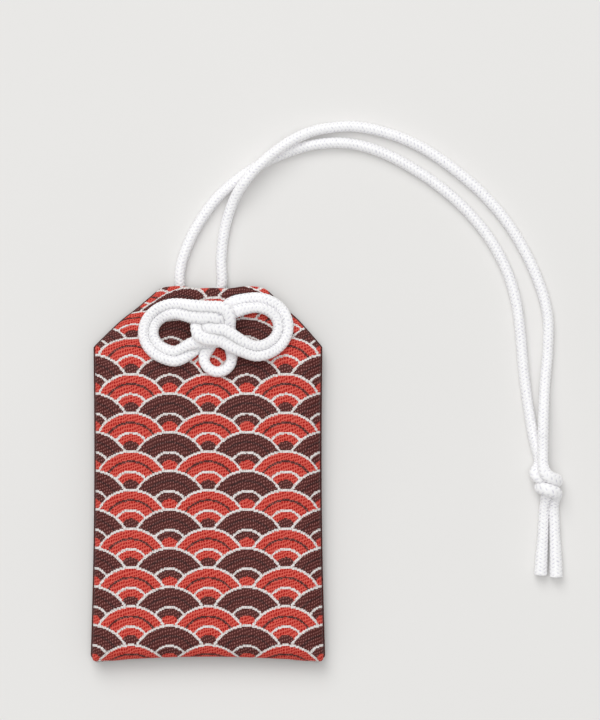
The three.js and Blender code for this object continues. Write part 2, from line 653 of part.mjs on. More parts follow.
const charm = new THREE.Group();
const innerCharm = new THREE.Group();
charm.add(innerCharm);

function piece(group, name, geometry, finish) {
  const mesh = new THREE.Mesh(geometry, new THREE.MeshStandardMaterial(finish));
  mesh.name = name;
  group.add(mesh);
}

const frontSheet = sheetGeometry(FRONT_GRID, frontOutside, frontInside);
const backSheet = sheetGeometry(BACK_GRID, backInside, backOutside);
piece(charm, 'front_panel', cut(frontSheet, slitTool()), brocade);
piece(charm, 'back_panel', cut(backSheet, slitTool()), darkCloth);
piece(charm, 'front_interlining', frontInterlining(), interlining);
piece(charm, 'back_interlining', backInterlining(), interlining);
piece(charm, 'stiffener_card', stiffenerCard(), card);
piece(innerCharm, 'charm_wrapper', charmWrapper(), paper);
piece(innerCharm, 'prayer_slip', prayerSlip(), cypress);
piece(charm, 'bow_knot', bowKnot(), cordSilk);
piece(charm, 'loop_strand_left', loopStrand(LEFT_STRAND), cordSilk);
piece(charm, 'loop_strand_right', loopStrand(RIGHT_STRAND), cordSilk);
piece(charm, 'end_knot', endKnot(), cordSilk);
piece(charm, 'tail_left', tail(-1), cordSilk);
piece(charm, 'tail_right', tail(1), cordSilk);

export default charm;
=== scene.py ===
import math

import bmesh
import bpy
import numpy as np
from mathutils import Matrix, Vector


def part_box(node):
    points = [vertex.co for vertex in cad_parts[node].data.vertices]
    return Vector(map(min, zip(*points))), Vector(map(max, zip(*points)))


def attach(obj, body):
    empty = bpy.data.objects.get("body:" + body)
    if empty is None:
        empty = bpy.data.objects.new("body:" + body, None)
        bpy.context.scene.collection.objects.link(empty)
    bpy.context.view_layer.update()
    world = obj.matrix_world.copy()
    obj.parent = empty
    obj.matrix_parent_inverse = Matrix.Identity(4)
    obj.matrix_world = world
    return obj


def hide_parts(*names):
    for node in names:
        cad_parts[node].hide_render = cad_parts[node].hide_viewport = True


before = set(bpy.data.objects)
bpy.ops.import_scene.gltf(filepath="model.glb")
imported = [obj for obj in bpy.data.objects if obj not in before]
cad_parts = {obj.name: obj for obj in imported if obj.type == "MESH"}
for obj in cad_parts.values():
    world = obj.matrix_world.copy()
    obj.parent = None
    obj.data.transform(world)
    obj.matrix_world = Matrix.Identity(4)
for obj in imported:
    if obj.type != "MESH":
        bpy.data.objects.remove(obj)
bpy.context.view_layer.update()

# Setting: the charm lies on its back on a sheet of pale paper, lit softly from the upper left.
# The camera looks straight down on it from far off, so that it shows almost no perspective.
# Places and sizes of the setting are in metres.
MM = 0.001
PAPER_HALF_WIDTH = 1.5
PAPER_LEVEL = -0.07 * MM
PAPER_COLOUR = "#E9E8E6"
CLOUD_SIZE = 111.1 * MM
FILL_LIGHT = 0.44
LAMP_AIM = np.array((0.01, 0.01, 0.0))
LAMPS = [
    {"name": "soft_box", "place": (-0.65, 1.85, 2.2), "size": 2.2, "power": 39.0},
    {"name": "overhead", "place": (0.02, 0.02, 2.4), "size": 1.8, "power": 16.0},
]
VIEW_CENTRE = (18.35 * MM, 23.0 * MM)
VIEW_HEIGHT = 144 * MM
CAMERA_DISTANCE = 0.9


def linear(hex_colour):
    """An sRGB hex value as a linear colour."""
    channels = [int(hex_colour[i:i + 2], 16) / 255 for i in (1, 3, 5)]
    return [c / 12.92 if c <= 0.04045 else ((c + 0.055) / 1.055) ** 2.4 for c in channels] + [1.0]


def add_node(tree, kind, settings=(), links=(), ramp=()):
    """Adds a node. A setting is a property or an input's value, a link leads an output to an input,
    and a ramp lists positions and hex colours."""
    made = tree.nodes.new(kind)
    for key, value in dict(settings).items():
        if isinstance(key, str) and hasattr(made, key):
            setattr(made, key, value)
        else:
            made.inputs[key].default_value = value
    for key, output in dict(links).items():
        tree.links.new(output, made.inputs[key])
    for i, (position, colour) in enumerate(ramp):
        steps = made.color_ramp.elements
        step = steps[i] if i < len(steps) else steps.new(position)
        step.position = position
        step.color = linear(colour)
    return made


def new_material(name, roughness, specular=0.5):
    material = bpy.data.materials.new(name)
    material.use_nodes = True
    tree = material.node_tree
    tree.nodes.clear()
    shader = add_node(tree, "ShaderNodeBsdfPrincipled",
                      {"Roughness": roughness, "Specular IOR Level": specular})
    add_node(tree, "ShaderNodeOutputMaterial", {"is_active_output": True}, {"Surface": shader.outputs[0]})
    return material, tree, shader


def new_object(name, shape, *materials):
    """Turns a finished bmesh into an object of the scene."""
    mesh = bpy.data.meshes.new(name)
    shape.to_mesh(mesh)
    shape.free()
    for material in materials:
        mesh.materials.append(material)
    made = bpy.data.objects.new(name, mesh)
    bpy.context.scene.collection.objects.link(made)
    return made


# Matt paper: almost even to the eye, with faint wide clouds in its tone.
def matt_paper():
    material, tree, shader = new_material("matt_paper", 0.9, 0.1)
    place = add_node(tree, "ShaderNodeTexCoord")
    cloud = add_node(tree, "ShaderNodeTexNoise", {"Scale": 1 / CLOUD_SIZE, "Detail": 3.0},
                     {"Vector": place.outputs["Object"]})
    tint = add_node(tree, "ShaderNodeValToRGB", links={"Fac": cloud.outputs["Fac"]},
                    ramp=[(0.0, "#E6E5E3"), (1.0, "#ECEBE9")])
    tree.links.new(tint.outputs["Color"], shader.inputs["Base Color"])
    return material


paper_sheet = bmesh.new()
bmesh.ops.create_grid(paper_sheet, x_segments=1, y_segments=1, size=PAPER_HALF_WIDTH)
bmesh.ops.translate(paper_sheet, verts=paper_sheet.verts, vec=(0, 0, PAPER_LEVEL))
new_object("paper_floor", paper_sheet, matt_paper())

studio = bpy.data.worlds.new("studio")
studio.use_nodes = True
studio.node_tree.nodes.clear()
rays = add_node(studio.node_tree, "ShaderNodeLightPath")
fill = add_node(studio.node_tree, "ShaderNodeBackground",
                {"Color": (1.0, 1.0, 1.0, 1.0), "Strength": FILL_LIGHT})
backdrop = add_node(studio.node_tree, "ShaderNodeBackground",
                    {"Color": linear(PAPER_COLOUR), "Strength": 1.0})
direct = add_node(studio.node_tree, "ShaderNodeMath", {"operation": "MAXIMUM"},
                  {0: rays.outputs["Is Camera Ray"], 1: rays.outputs["Is Glossy Ray"]})
shown = add_node(studio.node_tree, "ShaderNodeMath", {"operation": "MAXIMUM"},
                 {0: direct.outputs[0], 1: rays.outputs["Is Transmission Ray"]})
both = add_node(studio.node_tree, "ShaderNodeMixShader",
                links={0: shown.outputs[0], 1: fill.outputs[0], 2: backdrop.outputs[0]})
add_node(studio.node_tree, "ShaderNodeOutputWorld", links={"Surface": both.outputs[0]})

for lamp in LAMPS:
    light = bpy.data.lights.new(lamp["name"], "AREA")
    light.shape = "DISK"
    light.size = lamp["size"]
    light.energy = lamp["power"]
    stand = bpy.data.objects.new(lamp["name"], light)
    stand.location = lamp["place"]
    aim = LAMP_AIM - np.array(lamp["place"])
    stand.rotation_euler = (math.acos(-aim[2] / np.linalg.norm(aim)), 0, math.atan2(-aim[0], aim[1]))
    bpy.context.scene.collection.objects.link(stand)

lens = bpy.data.cameras.new("camera")
lens.sensor_fit = "VERTICAL"
lens.lens = lens.sensor_height * CAMERA_DISTANCE / VIEW_HEIGHT
camera = bpy.data.objects.new("camera", lens)
camera.location = (*VIEW_CENTRE, CAMERA_DISTANCE)
bpy.context.scene.collection.objects.link(camera)
bpy.context.scene.camera = camera
bpy.context.scene.world = studio
bpy.context.scene.view_settings.view_transform = "Standard"

# Front panel: brocade woven with wave scales in vermilion, maroon and off-white, over a fine slanting twill.
# It is sewn to the back panel along the sides and foot, laps the foot seam, and is turned in at the mouth.
# A stiff filling keeps its face nearly flat, and it swells over the padding. Sizes are in millimetres.
HALF_HEIGHT = 37.2
FOOT_HALF_WIDTH = 23.4
SHOULDER_HALF_WIDTH = 22.8
MOUTH_HALF_WIDTH = 10.8
SHOULDER_Y = 25.6
SIDE_DRAW = 0.4
FOOT_ARCH, ARCH_FADING = 1.1, 4
FOOT_CORNER, CORNER_CLEAR = 1.2, 2
SEAM_SHOW = 0.3
CLOTH_THICKNESS = 0.3


def smooth_step(low, high, value):
    t = np.clip((value - low) / (high - low), 0, 1)
    return t * t * (3 - 2 * t)


def half_width(y):
    """Half the pouch's width, with sides drawn in, round foot corners and cut-off shoulders."""
    along = np.clip((y + HALF_HEIGHT) / (SHOULDER_Y + HALF_HEIGHT), 0, 1)
    taper = (SHOULDER_HALF_WIDTH - FOOT_HALF_WIDTH) * along
    side = FOOT_HALF_WIDTH + taper - SIDE_DRAW * np.sin(np.pi * along)
    corner = np.clip(FOOT_CORNER - (y + HALF_HEIGHT), 0, FOOT_CORNER)
    side = side - FOOT_CORNER + np.sqrt(FOOT_CORNER ** 2 - corner ** 2)
    above = np.clip((y - SHOULDER_Y) / (HALF_HEIGHT - SHOULDER_Y), 0, 1)
    shoulder = SHOULDER_HALF_WIDTH + (MOUTH_HALF_WIDTH - SHOULDER_HALF_WIDTH) * above
    return np.where(y > SHOULDER_Y, shoulder, side)


def foot_arch(across, y):
    along = np.clip((y + HALF_HEIGHT) / (SHOULDER_Y + HALF_HEIGHT), 0, 1)
    return FOOT_ARCH * (1 - across ** 2) * (1 - along) ** ARCH_FADING


def seam_distance(x, y):
    """Distance from a point of the front panel to its sewn edges."""
    slope = (SHOULDER_HALF_WIDTH - MOUTH_HALF_WIDTH) / (HALF_HEIGHT - SHOULDER_Y)
    side = half_width(np.clip(y, CORNER_CLEAR - HALF_HEIGHT, SHOULDER_Y)) - SEAM_SHOW - np.abs(x)
    shoulder = SHOULDER_HALF_WIDTH - SEAM_SHOW - (y - SHOULDER_Y) * slope - np.abs(x)
    across = np.clip(np.abs(x) / FOOT_HALF_WIDTH, 0, 1)
    foot = y + HALF_HEIGHT - foot_arch(across, y)
    return np.maximum(np.minimum.reduce([side, shoulder / math.hypot(1, slope), foot]), 0)


front_low, front_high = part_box("front_panel")
FRONT_RIM, FRONT_CROWN = front_low.z / MM, front_high.z / MM
HEAD_START, HEAD_END, HEAD_LIFT = 19.0, 28.5, 0.2
RIM_LIFT, RIM_ROUND = 0.5, 0.45
SWELL_REACH, SWELL_BOW = 4.2, 2.6
PUCKER_DEPTH, PUCKER_SPACING, PUCKER_REACH = 0.07, 4.7, 1.7
PUCKER_DRIFT, PUCKER_DRIFT_RATE = 1.3, 0.21
UNEVEN_HEIGHT, UNEVEN_SINK = 0.09, 0.05
UNEVEN_ACROSS, UNEVEN_ALONG = (0.33, 0.9), (0.21, 0.4)


def front_height(x, y):
    """Height of the front panel's outer face.
    It swells from its seams, puckers beside them, and is flat at the head."""
    seam = seam_distance(x, y)
    full = 1 - (1 - np.clip(seam / SWELL_REACH, 0, 1)) ** SWELL_BOW
    head = smooth_step(HEAD_START, HEAD_END, y)
    swell = (FRONT_CROWN - FRONT_RIM - RIM_LIFT) * (1 - head) + HEAD_LIFT * head
    rim = np.clip(RIM_ROUND - seam, 0, RIM_ROUND)
    turned = RIM_ROUND - np.sqrt(RIM_ROUND ** 2 - rim ** 2)
    gathers = 2 * np.pi * y / PUCKER_SPACING + PUCKER_DRIFT * np.sin(PUCKER_DRIFT_RATE * y)
    pucker = PUCKER_DEPTH * (0.5 + 0.5 * np.cos(gathers)) * np.exp(-seam / PUCKER_REACH)
    waves = np.sin(UNEVEN_ACROSS[0] * x + UNEVEN_ACROSS[1]) * np.sin(UNEVEN_ALONG[0] * y + UNEVEN_ALONG[1])
    uneven = UNEVEN_HEIGHT * full * waves - UNEVEN_SINK * full
    return FRONT_RIM + RIM_LIFT + full * swell - turned - pucker * (1 - head) + uneven * (1 - head)


ENLARGED = 0.02
TRIAL_COLUMNS, TRIAL_ROWS = 48, 78
TRIAL_MOMENTS = 25
SIDE_HELD, FOOT_HELD, HEAD_HELD = 0.49, -0.47, 0.4
SEAM_GATHER, GATHER_REACH = 0.03, 2.5
PADDING_PRESSURE = 0.02
MOST_MOVE = 0.22


def padded_out(lay, outward):
    """How far sewn cloth moves, in millimetres, when padding pushes it out and its seams hold its edges.
    A coarse copy, twenty times as large, is simulated with a little spare cloth and no weight."""
    cloth = bmesh.new()
    bmesh.ops.create_grid(cloth, x_segments=TRIAL_COLUMNS, y_segments=TRIAL_ROWS, size=0.5)
    flat = np.array([vertex.co for vertex in cloth.verts])
    order = np.lexsort((np.rint(flat[:, 0] * TRIAL_COLUMNS), np.rint(flat[:, 1] * TRIAL_ROWS)))
    laid = lay(flat)
    for vertex, place in zip(cloth.verts, laid * ENLARGED):
        vertex.co = place
    bmesh.ops.recalc_face_normals(cloth, faces=cloth.faces)
    if sum(face.normal.z for face in cloth.faces) * outward < 0:
        bmesh.ops.reverse_faces(cloth, faces=cloth.faces)
    trial = new_object("padding_trial", cloth)
    seams = trial.vertex_groups.new(name="seams")
    held = (np.abs(flat[:, 0]) > SIDE_HELD) | (flat[:, 1] < FOOT_HELD) | (flat[:, 1] > HEAD_HELD)
    seams.add([int(i) for i in np.flatnonzero(held)], 1.0, "REPLACE")
    gathered = trial.vertex_groups.new(name="gathered")
    for i, share in enumerate(np.exp(-seam_distance(laid[:, 0], laid[:, 1]) / GATHER_REACH)):
        gathered.add([i], float(share), "REPLACE")
    soft = trial.modifiers.new("padding", "CLOTH")
    soft.collision_settings.use_collision = False
    cloth_rules = soft.settings
    cloth_rules.quality = 6
    cloth_rules.mass = 0.25
    cloth_rules.tension_stiffness = cloth_rules.compression_stiffness = 18
    cloth_rules.shear_stiffness = 8
    cloth_rules.bending_stiffness = 0.4
    cloth_rules.vertex_group_mass = "seams"
    cloth_rules.vertex_group_shrink = "gathered"
    cloth_rules.shrink_min, cloth_rules.shrink_max = 0.0, -SEAM_GATHER
    cloth_rules.use_pressure = True
    cloth_rules.uniform_pressure_force = PADDING_PRESSURE
    cloth_rules.effector_weights.gravity = 0
    scene = bpy.context.scene
    for moment in range(TRIAL_MOMENTS):
        scene.frame_set(moment)
    pose = trial.evaluated_get(bpy.context.evaluated_depsgraph_get()).data
    ended = np.array([vertex.co for vertex in pose.vertices]) / ENLARGED
    scene.frame_set(1)
    mesh = trial.data
    bpy.data.objects.remove(trial)
    bpy.data.meshes.remove(mesh)
    moved = np.clip(ended - laid, -MOST_MOVE, MOST_MOVE)
    return moved[order].reshape(TRIAL_ROWS + 1, TRIAL_COLUMNS + 1, 3)


def follow_cloth(cloth, flat, places, columns, rows):
    """Puts a grid's vertices in place, with a UV map in metres measured along the cloth from its middle."""
    order = np.lexsort((np.rint(flat[:, 0] * columns), np.rint(flat[:, 1] * rows)))
    net = places[order].reshape(rows + 1, columns + 1, 3)
    across = np.cumsum(np.linalg.norm(np.diff(net, axis=1, prepend=net[:, :1]), axis=2), axis=1)
    along = np.cumsum(np.linalg.norm(np.diff(net, axis=0, prepend=net[:1]), axis=2), axis=0)
    middle = slice(rows // 2, rows // 2 + 1)
    across -= across[:, columns // 2:columns // 2 + 1]
    along -= along[middle] - net[middle, :, 1]
    measured = np.empty((len(flat), 2))
    measured[order] = np.column_stack([across.ravel(), along.ravel()]) * MM
    for vertex, place in zip(cloth.verts, places * MM):
        vertex.co = place
    bmesh.ops.recalc_face_normals(cloth, faces=cloth.faces)
    cloth.verts.index_update()
    laid_out = cloth.loops.layers.uv.new("cloth")
    for face in cloth.faces:
        face.smooth = True
        for corner in face.loops:
            corner[laid_out].uv = measured[corner.vert.index]


def thicken(cloth, inward, thickness):
    """Turns a cloth's outer face outwards and gives it its thickness on the inside."""
    if sum(face.normal.z for face in cloth.faces) * inward > 0:
        bmesh.ops.reverse_faces(cloth, faces=cloth.faces)
    bmesh.ops.solidify(cloth, geom=cloth.faces, thickness=thickness * MM)
    bmesh.ops.recalc_face_normals(cloth, faces=cloth.faces)


PANEL_COLUMNS, PANEL_ROWS, JUST_INSIDE = 112, 190, 1e-6
CROWDING = 0.72
LIP_SHARE, ROLL_SHARE, ROLL_REACH = 0.02, 0.05, 0.35
INSET_FADING = 8
RIPPLE_START, RIPPLE_SINK = 30, 0.08
MOUTH_RIPPLES = [(0.2, 15.5, 7.5), (0.1, 6.2, 0.0)]
MOUTH_CORNER_X, MOUTH_CORNER_WIDTH, MOUTH_CORNER_DROP = 8.6, 2.2, 0.7
MOUTH_LEAN, MOUTH_STRETCH = 0.9, 0.06


def sewn_panel(name, material, height, inward, seam_inset, foot_inset, foot_lip, mouth_roll):
    """Lays a grid on the pouch's outline, turns its foot and mouth edges, and thickens it."""

    def lay(flat):
        across = 2 * flat[:, 0] + CROWDING * np.sin(2 * np.pi * flat[:, 0]) / np.pi
        row = (flat[:, 1] + 0.5) * (1 + LIP_SHARE + ROLL_SHARE) - LIP_SHARE
        up = np.clip(row, 0, 1)
        y = HALF_HEIGHT * (2 * (up - CROWDING * np.sin(2 * np.pi * up) / (2 * np.pi)) - 1)
        x = across * (half_width(y) - seam_inset)
        y = y + foot_arch(across, y) + foot_inset * (1 - up) ** INSET_FADING
        z = height(x, y)
        head = np.clip((y - SHOULDER_Y) / (HALF_HEIGHT - SHOULDER_Y), 0, 1)
        corner = np.clip((np.abs(x) - MOUTH_CORNER_X) / MOUTH_CORNER_WIDTH, 0, 1) ** 2
        ripple = sum(rise * np.cos(2 * np.pi * (x + shift) / spacing)
                     for rise, spacing, shift in MOUTH_RIPPLES)
        wander = ripple - RIPPLE_SINK - MOUTH_CORNER_DROP * corner
        y = y + smooth_step(RIPPLE_START, HALF_HEIGHT, y) * wander
        z = z - foot_lip * np.clip(-row / LIP_SHARE, 0, 1)
        turn = np.pi * np.clip((row - 1) / ROLL_SHARE, 0, 1)
        y = y + ROLL_REACH * np.sin(turn) * (1 - corner)
        z = z - mouth_roll * (1 - np.cos(turn))
        x = x + head * (MOUTH_LEAN + MOUTH_STRETCH * x)
        return np.column_stack([x, y, z])

    cloth = bmesh.new()
    bmesh.ops.create_grid(cloth, x_segments=PANEL_COLUMNS, y_segments=PANEL_ROWS, size=0.5)
    flat = np.array([vertex.co for vertex in cloth.verts])
    moved = padded_out(lay, -inward)
    column = np.clip((flat[:, 0] + 0.5) * TRIAL_COLUMNS, 0, TRIAL_COLUMNS - JUST_INSIDE)
    row = np.clip((flat[:, 1] + 0.5) * TRIAL_ROWS, 0, TRIAL_ROWS - JUST_INSIDE)
    left, low = column.astype(int), row.astype(int)
    right_share, high_share = (column - left)[:, None], (row - low)[:, None]
    below = moved[low, left] * (1 - right_share) + moved[low, left + 1] * right_share
    above = moved[low + 1, left] * (1 - right_share) + moved[low + 1, left + 1] * right_share
    places = lay(flat) + below * (1 - high_share) + above * high_share
    follow_cloth(cloth, flat, places, PANEL_COLUMNS, PANEL_ROWS)
    thicken(cloth, inward, CLOTH_THICKNESS)
    for face in cloth.faces:
        face.smooth = True
    return new_object(name, cloth, material)


SLIT_MIDDLE, SLIT_HALF, SLIT_RADIUS = (0.0, 30.95), 1.2, 1.15
CUTTER_FOOT, CUTTER_HEIGHT = -1, 9


def cut_slit(panel):
    """Cuts the slit that both legs of the cord pass through."""
    stadium = bmesh.new()
    bmesh.ops.create_circle(stadium, cap_ends=True, segments=40, radius=SLIT_RADIUS * MM)
    for vertex in stadium.verts:
        vertex.co.y += math.copysign(SLIT_HALF * MM, vertex.co.y)
    made = bmesh.ops.extrude_face_region(stadium, geom=stadium.faces[:])
    raised = [item for item in made["geom"] if isinstance(item, bmesh.types.BMVert)]
    bmesh.ops.translate(stadium, verts=raised, vec=(0, 0, CUTTER_HEIGHT * MM))
    place = (SLIT_MIDDLE[0] * MM, SLIT_MIDDLE[1] * MM, CUTTER_FOOT * MM)
    bmesh.ops.translate(stadium, verts=stadium.verts, vec=place)
    bmesh.ops.recalc_face_normals(stadium, faces=stadium.faces)
    tool = new_object("slit", stadium)
    cutter = panel.modifiers.new("slit", "BOOLEAN")
    cutter.operation = "DIFFERENCE"
    cutter.solver = "EXACT"
    cutter.object = tool
    cut = bpy.data.meshes.new_from_object(panel.evaluated_get(bpy.context.evaluated_depsgraph_get()))
    panel.modifiers.clear()
    panel.data = cut
    bpy.data.objects.remove(tool)


RIB_SLANT, RIB_PITCH, RIB_RISE = 19, 0.66, 0.2
STITCH_PITCH, STITCH_STAGGER = 0.77 * RIB_PITCH, 0.5
WEAVE_MIDDLE = 0.5
WANDER_SIZE, WANDER_REACH = 1.6, 0.8


def twill(tree):
    """Height of a twill weave from 0 to 1: ribs slant up to the right, with stitch holes between them."""
    place = add_node(tree, "ShaderNodeTexCoord")
    wander = add_node(tree, "ShaderNodeTexNoise", {"Scale": 1 / (WANDER_SIZE * MM), "Detail": 1.0},
                      {"Vector": place.outputs["UV"]})
    centred = add_node(tree, "ShaderNodeVectorMath", {"operation": "SUBTRACT", 1: (0.5, 0.5, 0.5)},
                       {0: wander.outputs["Color"]})
    uneven = add_node(tree, "ShaderNodeVectorMath",
                      {"operation": "MULTIPLY_ADD", 1: (WANDER_REACH * MM, WANDER_REACH * MM, 0.0)},
                      {0: centred.outputs[0], 2: place.outputs["UV"]})
    turned = add_node(tree, "ShaderNodeMapping", {"Rotation": (0, 0, -math.radians(RIB_SLANT))},
                      {"Vector": uneven.outputs[0]})
    axes = add_node(tree, "ShaderNodeSeparateXYZ", links={0: turned.outputs[0]})
    across = add_node(tree, "ShaderNodeMath", {"operation": "MULTIPLY", 1: 2 * math.pi / (RIB_PITCH * MM)},
                      {0: axes.outputs["Y"]})
    rib = add_node(tree, "ShaderNodeMath", {"operation": "SINE"}, {0: across.outputs[0]})
    row = add_node(tree, "ShaderNodeMath", {"operation": "MULTIPLY", 1: -STITCH_STAGGER},
                   {0: across.outputs[0]})
    along = add_node(tree, "ShaderNodeMath",
                     {"operation": "MULTIPLY_ADD", 1: 2 * math.pi / (STITCH_PITCH * MM)},
                     {0: axes.outputs["X"], 2: row.outputs[0]})
    stitch = add_node(tree, "ShaderNodeMath", {"operation": "SINE"}, {0: along.outputs[0]})
    valley = add_node(tree, "ShaderNodeMath", {"operation": "MULTIPLY_ADD", 1: -RIB_RISE, 2: RIB_RISE},
                      {0: rib.outputs[0]})
    ridge = add_node(tree, "ShaderNodeMath", {"operation": "MULTIPLY_ADD", 1: RIB_RISE, 2: WEAVE_MIDDLE},
                     {0: rib.outputs[0]})
    return add_node(tree, "ShaderNodeMath", {"operation": "MULTIPLY_ADD", "use_clamp": True},
                    {0: stitch.outputs[0], 1: valley.outputs[0], 2: ridge.outputs[0]}).outputs[0]


SCALE_RADIUS = 7.7
FIRST_ROW = 60.72
THREAD = 0.24
WEAVE_TOP, WEAVE_DEPTH, WEAVE_STRENGTH = 0.72, 0.09, 0.7
# Gamma ranges for the weave's painted light: red and white go dark in the holes as painted shade and light on
# the ribs as a painted highlight; maroon goes pale in the holes, partly a paler thread and partly a painted
# glint, and a little darker on the ribs.
HOLE_SHADE_RIB_HIGHLIGHT, SPECK_GLINT_RANGE = (1.95, 0.6), (0.5, 1.2)
PALE_FROM = 0.3
VERMILION, MAROON, DARK_MAROON, OFF_WHITE = "#C23428", "#54231F", "#3C1A18", "#DCD6D3"
VERMILION_SCALE = [(0.0, MAROON), (0.24, VERMILION), (0.42, OFF_WHITE), (0.48, VERMILION), (0.68, MAROON),
                   (0.74, VERMILION), (0.94, OFF_WHITE)]
MAROON_SCALE = [(0.0, VERMILION), (0.24, MAROON), (0.42, OFF_WHITE), (0.48, MAROON), (0.68, DARK_MAROON),
                (0.74, MAROON), (0.94, OFF_WHITE)]


# Silky brocade: overlapping wave scales with stepped thread edges, on ribs that catch the light.
# Painted light in its colour: a painted highlight on the ribs, painted shade on red and white in the holes
# between them, and on maroon pale dots in the holes, partly a paler thread and partly a painted glint.
def wave_brocade():
    material, tree, shader = new_material("wave_brocade", 0.62, 0.2)
    shader.inputs["Sheen Weight"].default_value = 0.02
    place = add_node(tree, "ShaderNodeTexCoord")
    threads = add_node(tree, "ShaderNodeVectorMath",
                       {"operation": "SNAP", 1: (THREAD * MM, THREAD * MM, 1.0)}, {0: place.outputs["UV"]})
    scaled = add_node(tree, "ShaderNodeVectorMath", {"operation": "SCALE", "Scale": 1 / (SCALE_RADIUS * MM)},
                      {0: threads.outputs[0]})
    axes = add_node(tree, "ShaderNodeSeparateXYZ", links={0: scaled.outputs[0]})
    rows = add_node(tree, "ShaderNodeMath", {"operation": "MULTIPLY_ADD", 1: 2.0, 2: FIRST_ROW},
                    {0: axes.outputs["Y"]})
    part = add_node(tree, "ShaderNodeMath", {"operation": "FRACT"}, {0: rows.outputs[0]})
    whole = add_node(tree, "ShaderNodeMath", {"operation": "FLOOR"}, {0: rows.outputs[0]})
    odd = add_node(tree, "ShaderNodeMath", {"operation": "MODULO", 1: 2.0}, {0: whole.outputs[0]})
    even = add_node(tree, "ShaderNodeMath", {"operation": "SUBTRACT", 0: 1.0}, {1: odd.outputs[0]})
    reach, inside = [], []
    for parity, lift in ((even, 1.0), (odd, 0.0), (even, -1.0)):
        shifted = add_node(tree, "ShaderNodeMath", {"operation": "ADD"},
                           {0: axes.outputs["X"], 1: parity.outputs[0]})
        beside = add_node(tree, "ShaderNodeMath", {"operation": "WRAP", 1: 1.0, 2: -1.0},
                          {0: shifted.outputs[0]})
        above = add_node(tree, "ShaderNodeMath", {"operation": "MULTIPLY_ADD", 1: 0.5, 2: 0.5 * lift},
                         {0: part.outputs[0]})
        spot = add_node(tree, "ShaderNodeCombineXYZ", links={0: beside.outputs[0], 1: above.outputs[0]})
        reach.append(add_node(tree, "ShaderNodeVectorMath", {"operation": "LENGTH"}, {0: spot.outputs[0]}))
        inside.append(add_node(tree, "ShaderNodeMath", {"operation": "LESS_THAN", 1: 1.0},
                               {0: reach[-1].outputs["Value"]}))
    lower = add_node(tree, "ShaderNodeMix", links={
        0: inside[1].outputs[0], 2: reach[2].outputs["Value"], 3: reach[1].outputs["Value"]})
    radius = add_node(tree, "ShaderNodeMix", links={
        0: inside[0].outputs[0], 2: lower.outputs[0], 3: reach[0].outputs["Value"]})
    middle = add_node(tree, "ShaderNodeMix", links={
        0: inside[1].outputs[0], 2: even.outputs[0], 3: odd.outputs[0]})
    kind = add_node(tree, "ShaderNodeMix", links={
        0: inside[0].outputs[0], 2: middle.outputs[0], 3: even.outputs[0]})
    bands = []
    for steps in (VERMILION_SCALE, MAROON_SCALE):
        bands.append(add_node(tree, "ShaderNodeValToRGB", links={"Fac": radius.outputs[0]}, ramp=steps))
        bands[-1].color_ramp.interpolation = "CONSTANT"
    pattern = add_node(tree, "ShaderNodeMix", {"data_type": "RGBA"},
                       {0: kind.outputs[0], 6: bands[0].outputs["Color"], 7: bands[1].outputs["Color"]})
    raised = twill(tree)
    # Red and white: painted shade in the stitch holes and a painted highlight on the ribs.
    holes = add_node(tree, "ShaderNodeMapRange", {
        "From Max": WEAVE_TOP, "To Min": HOLE_SHADE_RIB_HIGHLIGHT[0], "To Max": HOLE_SHADE_RIB_HIGHLIGHT[1]}, {"Value": raised})
    # Maroon: pale dots in the holes, partly a paler thread and partly a painted glint, and the ribs a little
    # darker.
    pale_specks_and_glints = add_node(tree, "ShaderNodeMapRange", {
        "From Max": WEAVE_TOP, "To Min": SPECK_GLINT_RANGE[0], "To Max": SPECK_GLINT_RANGE[1]}, {"Value": raised})
    redness = add_node(tree, "ShaderNodeSeparateColor", links={0: pattern.outputs[2]})
    pale = add_node(tree, "ShaderNodeMath", {"operation": "GREATER_THAN", 1: PALE_FROM},
                    {0: redness.outputs[0]})
    painted_weave_light = add_node(tree, "ShaderNodeMix", links={
        0: pale.outputs[0], 2: pale_specks_and_glints.outputs[0], 3: holes.outputs[0]})
    # The pattern's colour with the weave's painted light laid on it.
    weave_with_painted_light = add_node(tree, "ShaderNodeGamma", links={"Color": pattern.outputs[2], "Gamma": painted_weave_light.outputs[0]})
    tree.links.new(weave_with_painted_light.outputs[0], shader.inputs["Base Color"])
    relief = add_node(tree, "ShaderNodeBump", {"Strength": WEAVE_STRENGTH, "Distance": WEAVE_DEPTH * MM},
                      {"Height": raised})
    tree.links.new(relief.outputs[0], shader.inputs["Normal"])
    return material


front = sewn_panel("front_brocade", wave_brocade(), front_height, inward=-1, seam_inset=SEAM_SHOW,
                   foot_inset=0.0, foot_lip=0.6, mouth_roll=0.35)
cut_slit(front)
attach(front, "pouch")
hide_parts("front_panel")

# Back panel: plain dark maroon twill, cut a little wider, so that it shows as a dark line along the sides.
# Its middle lies flat on the table, and its head is lifted by the two strands of cord behind it.
BACK_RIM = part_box("back_panel")[1].z / MM
BACK_REACH = 6.0
TABLE_GAP = 0.05


def back_height(x, y):
    """Height of the back panel's outer face."""
    full = np.sin(0.5 * np.pi * np.clip(seam_distance(x, y) / BACK_REACH, 0, 1))
    head = smooth_step(HEAD_START, HEAD_END, y)
    swell = (BACK_RIM - RIM_LIFT - TABLE_GAP) * (1 - head) + HEAD_LIFT * head
    return BACK_RIM - RIM_LIFT - full * swell


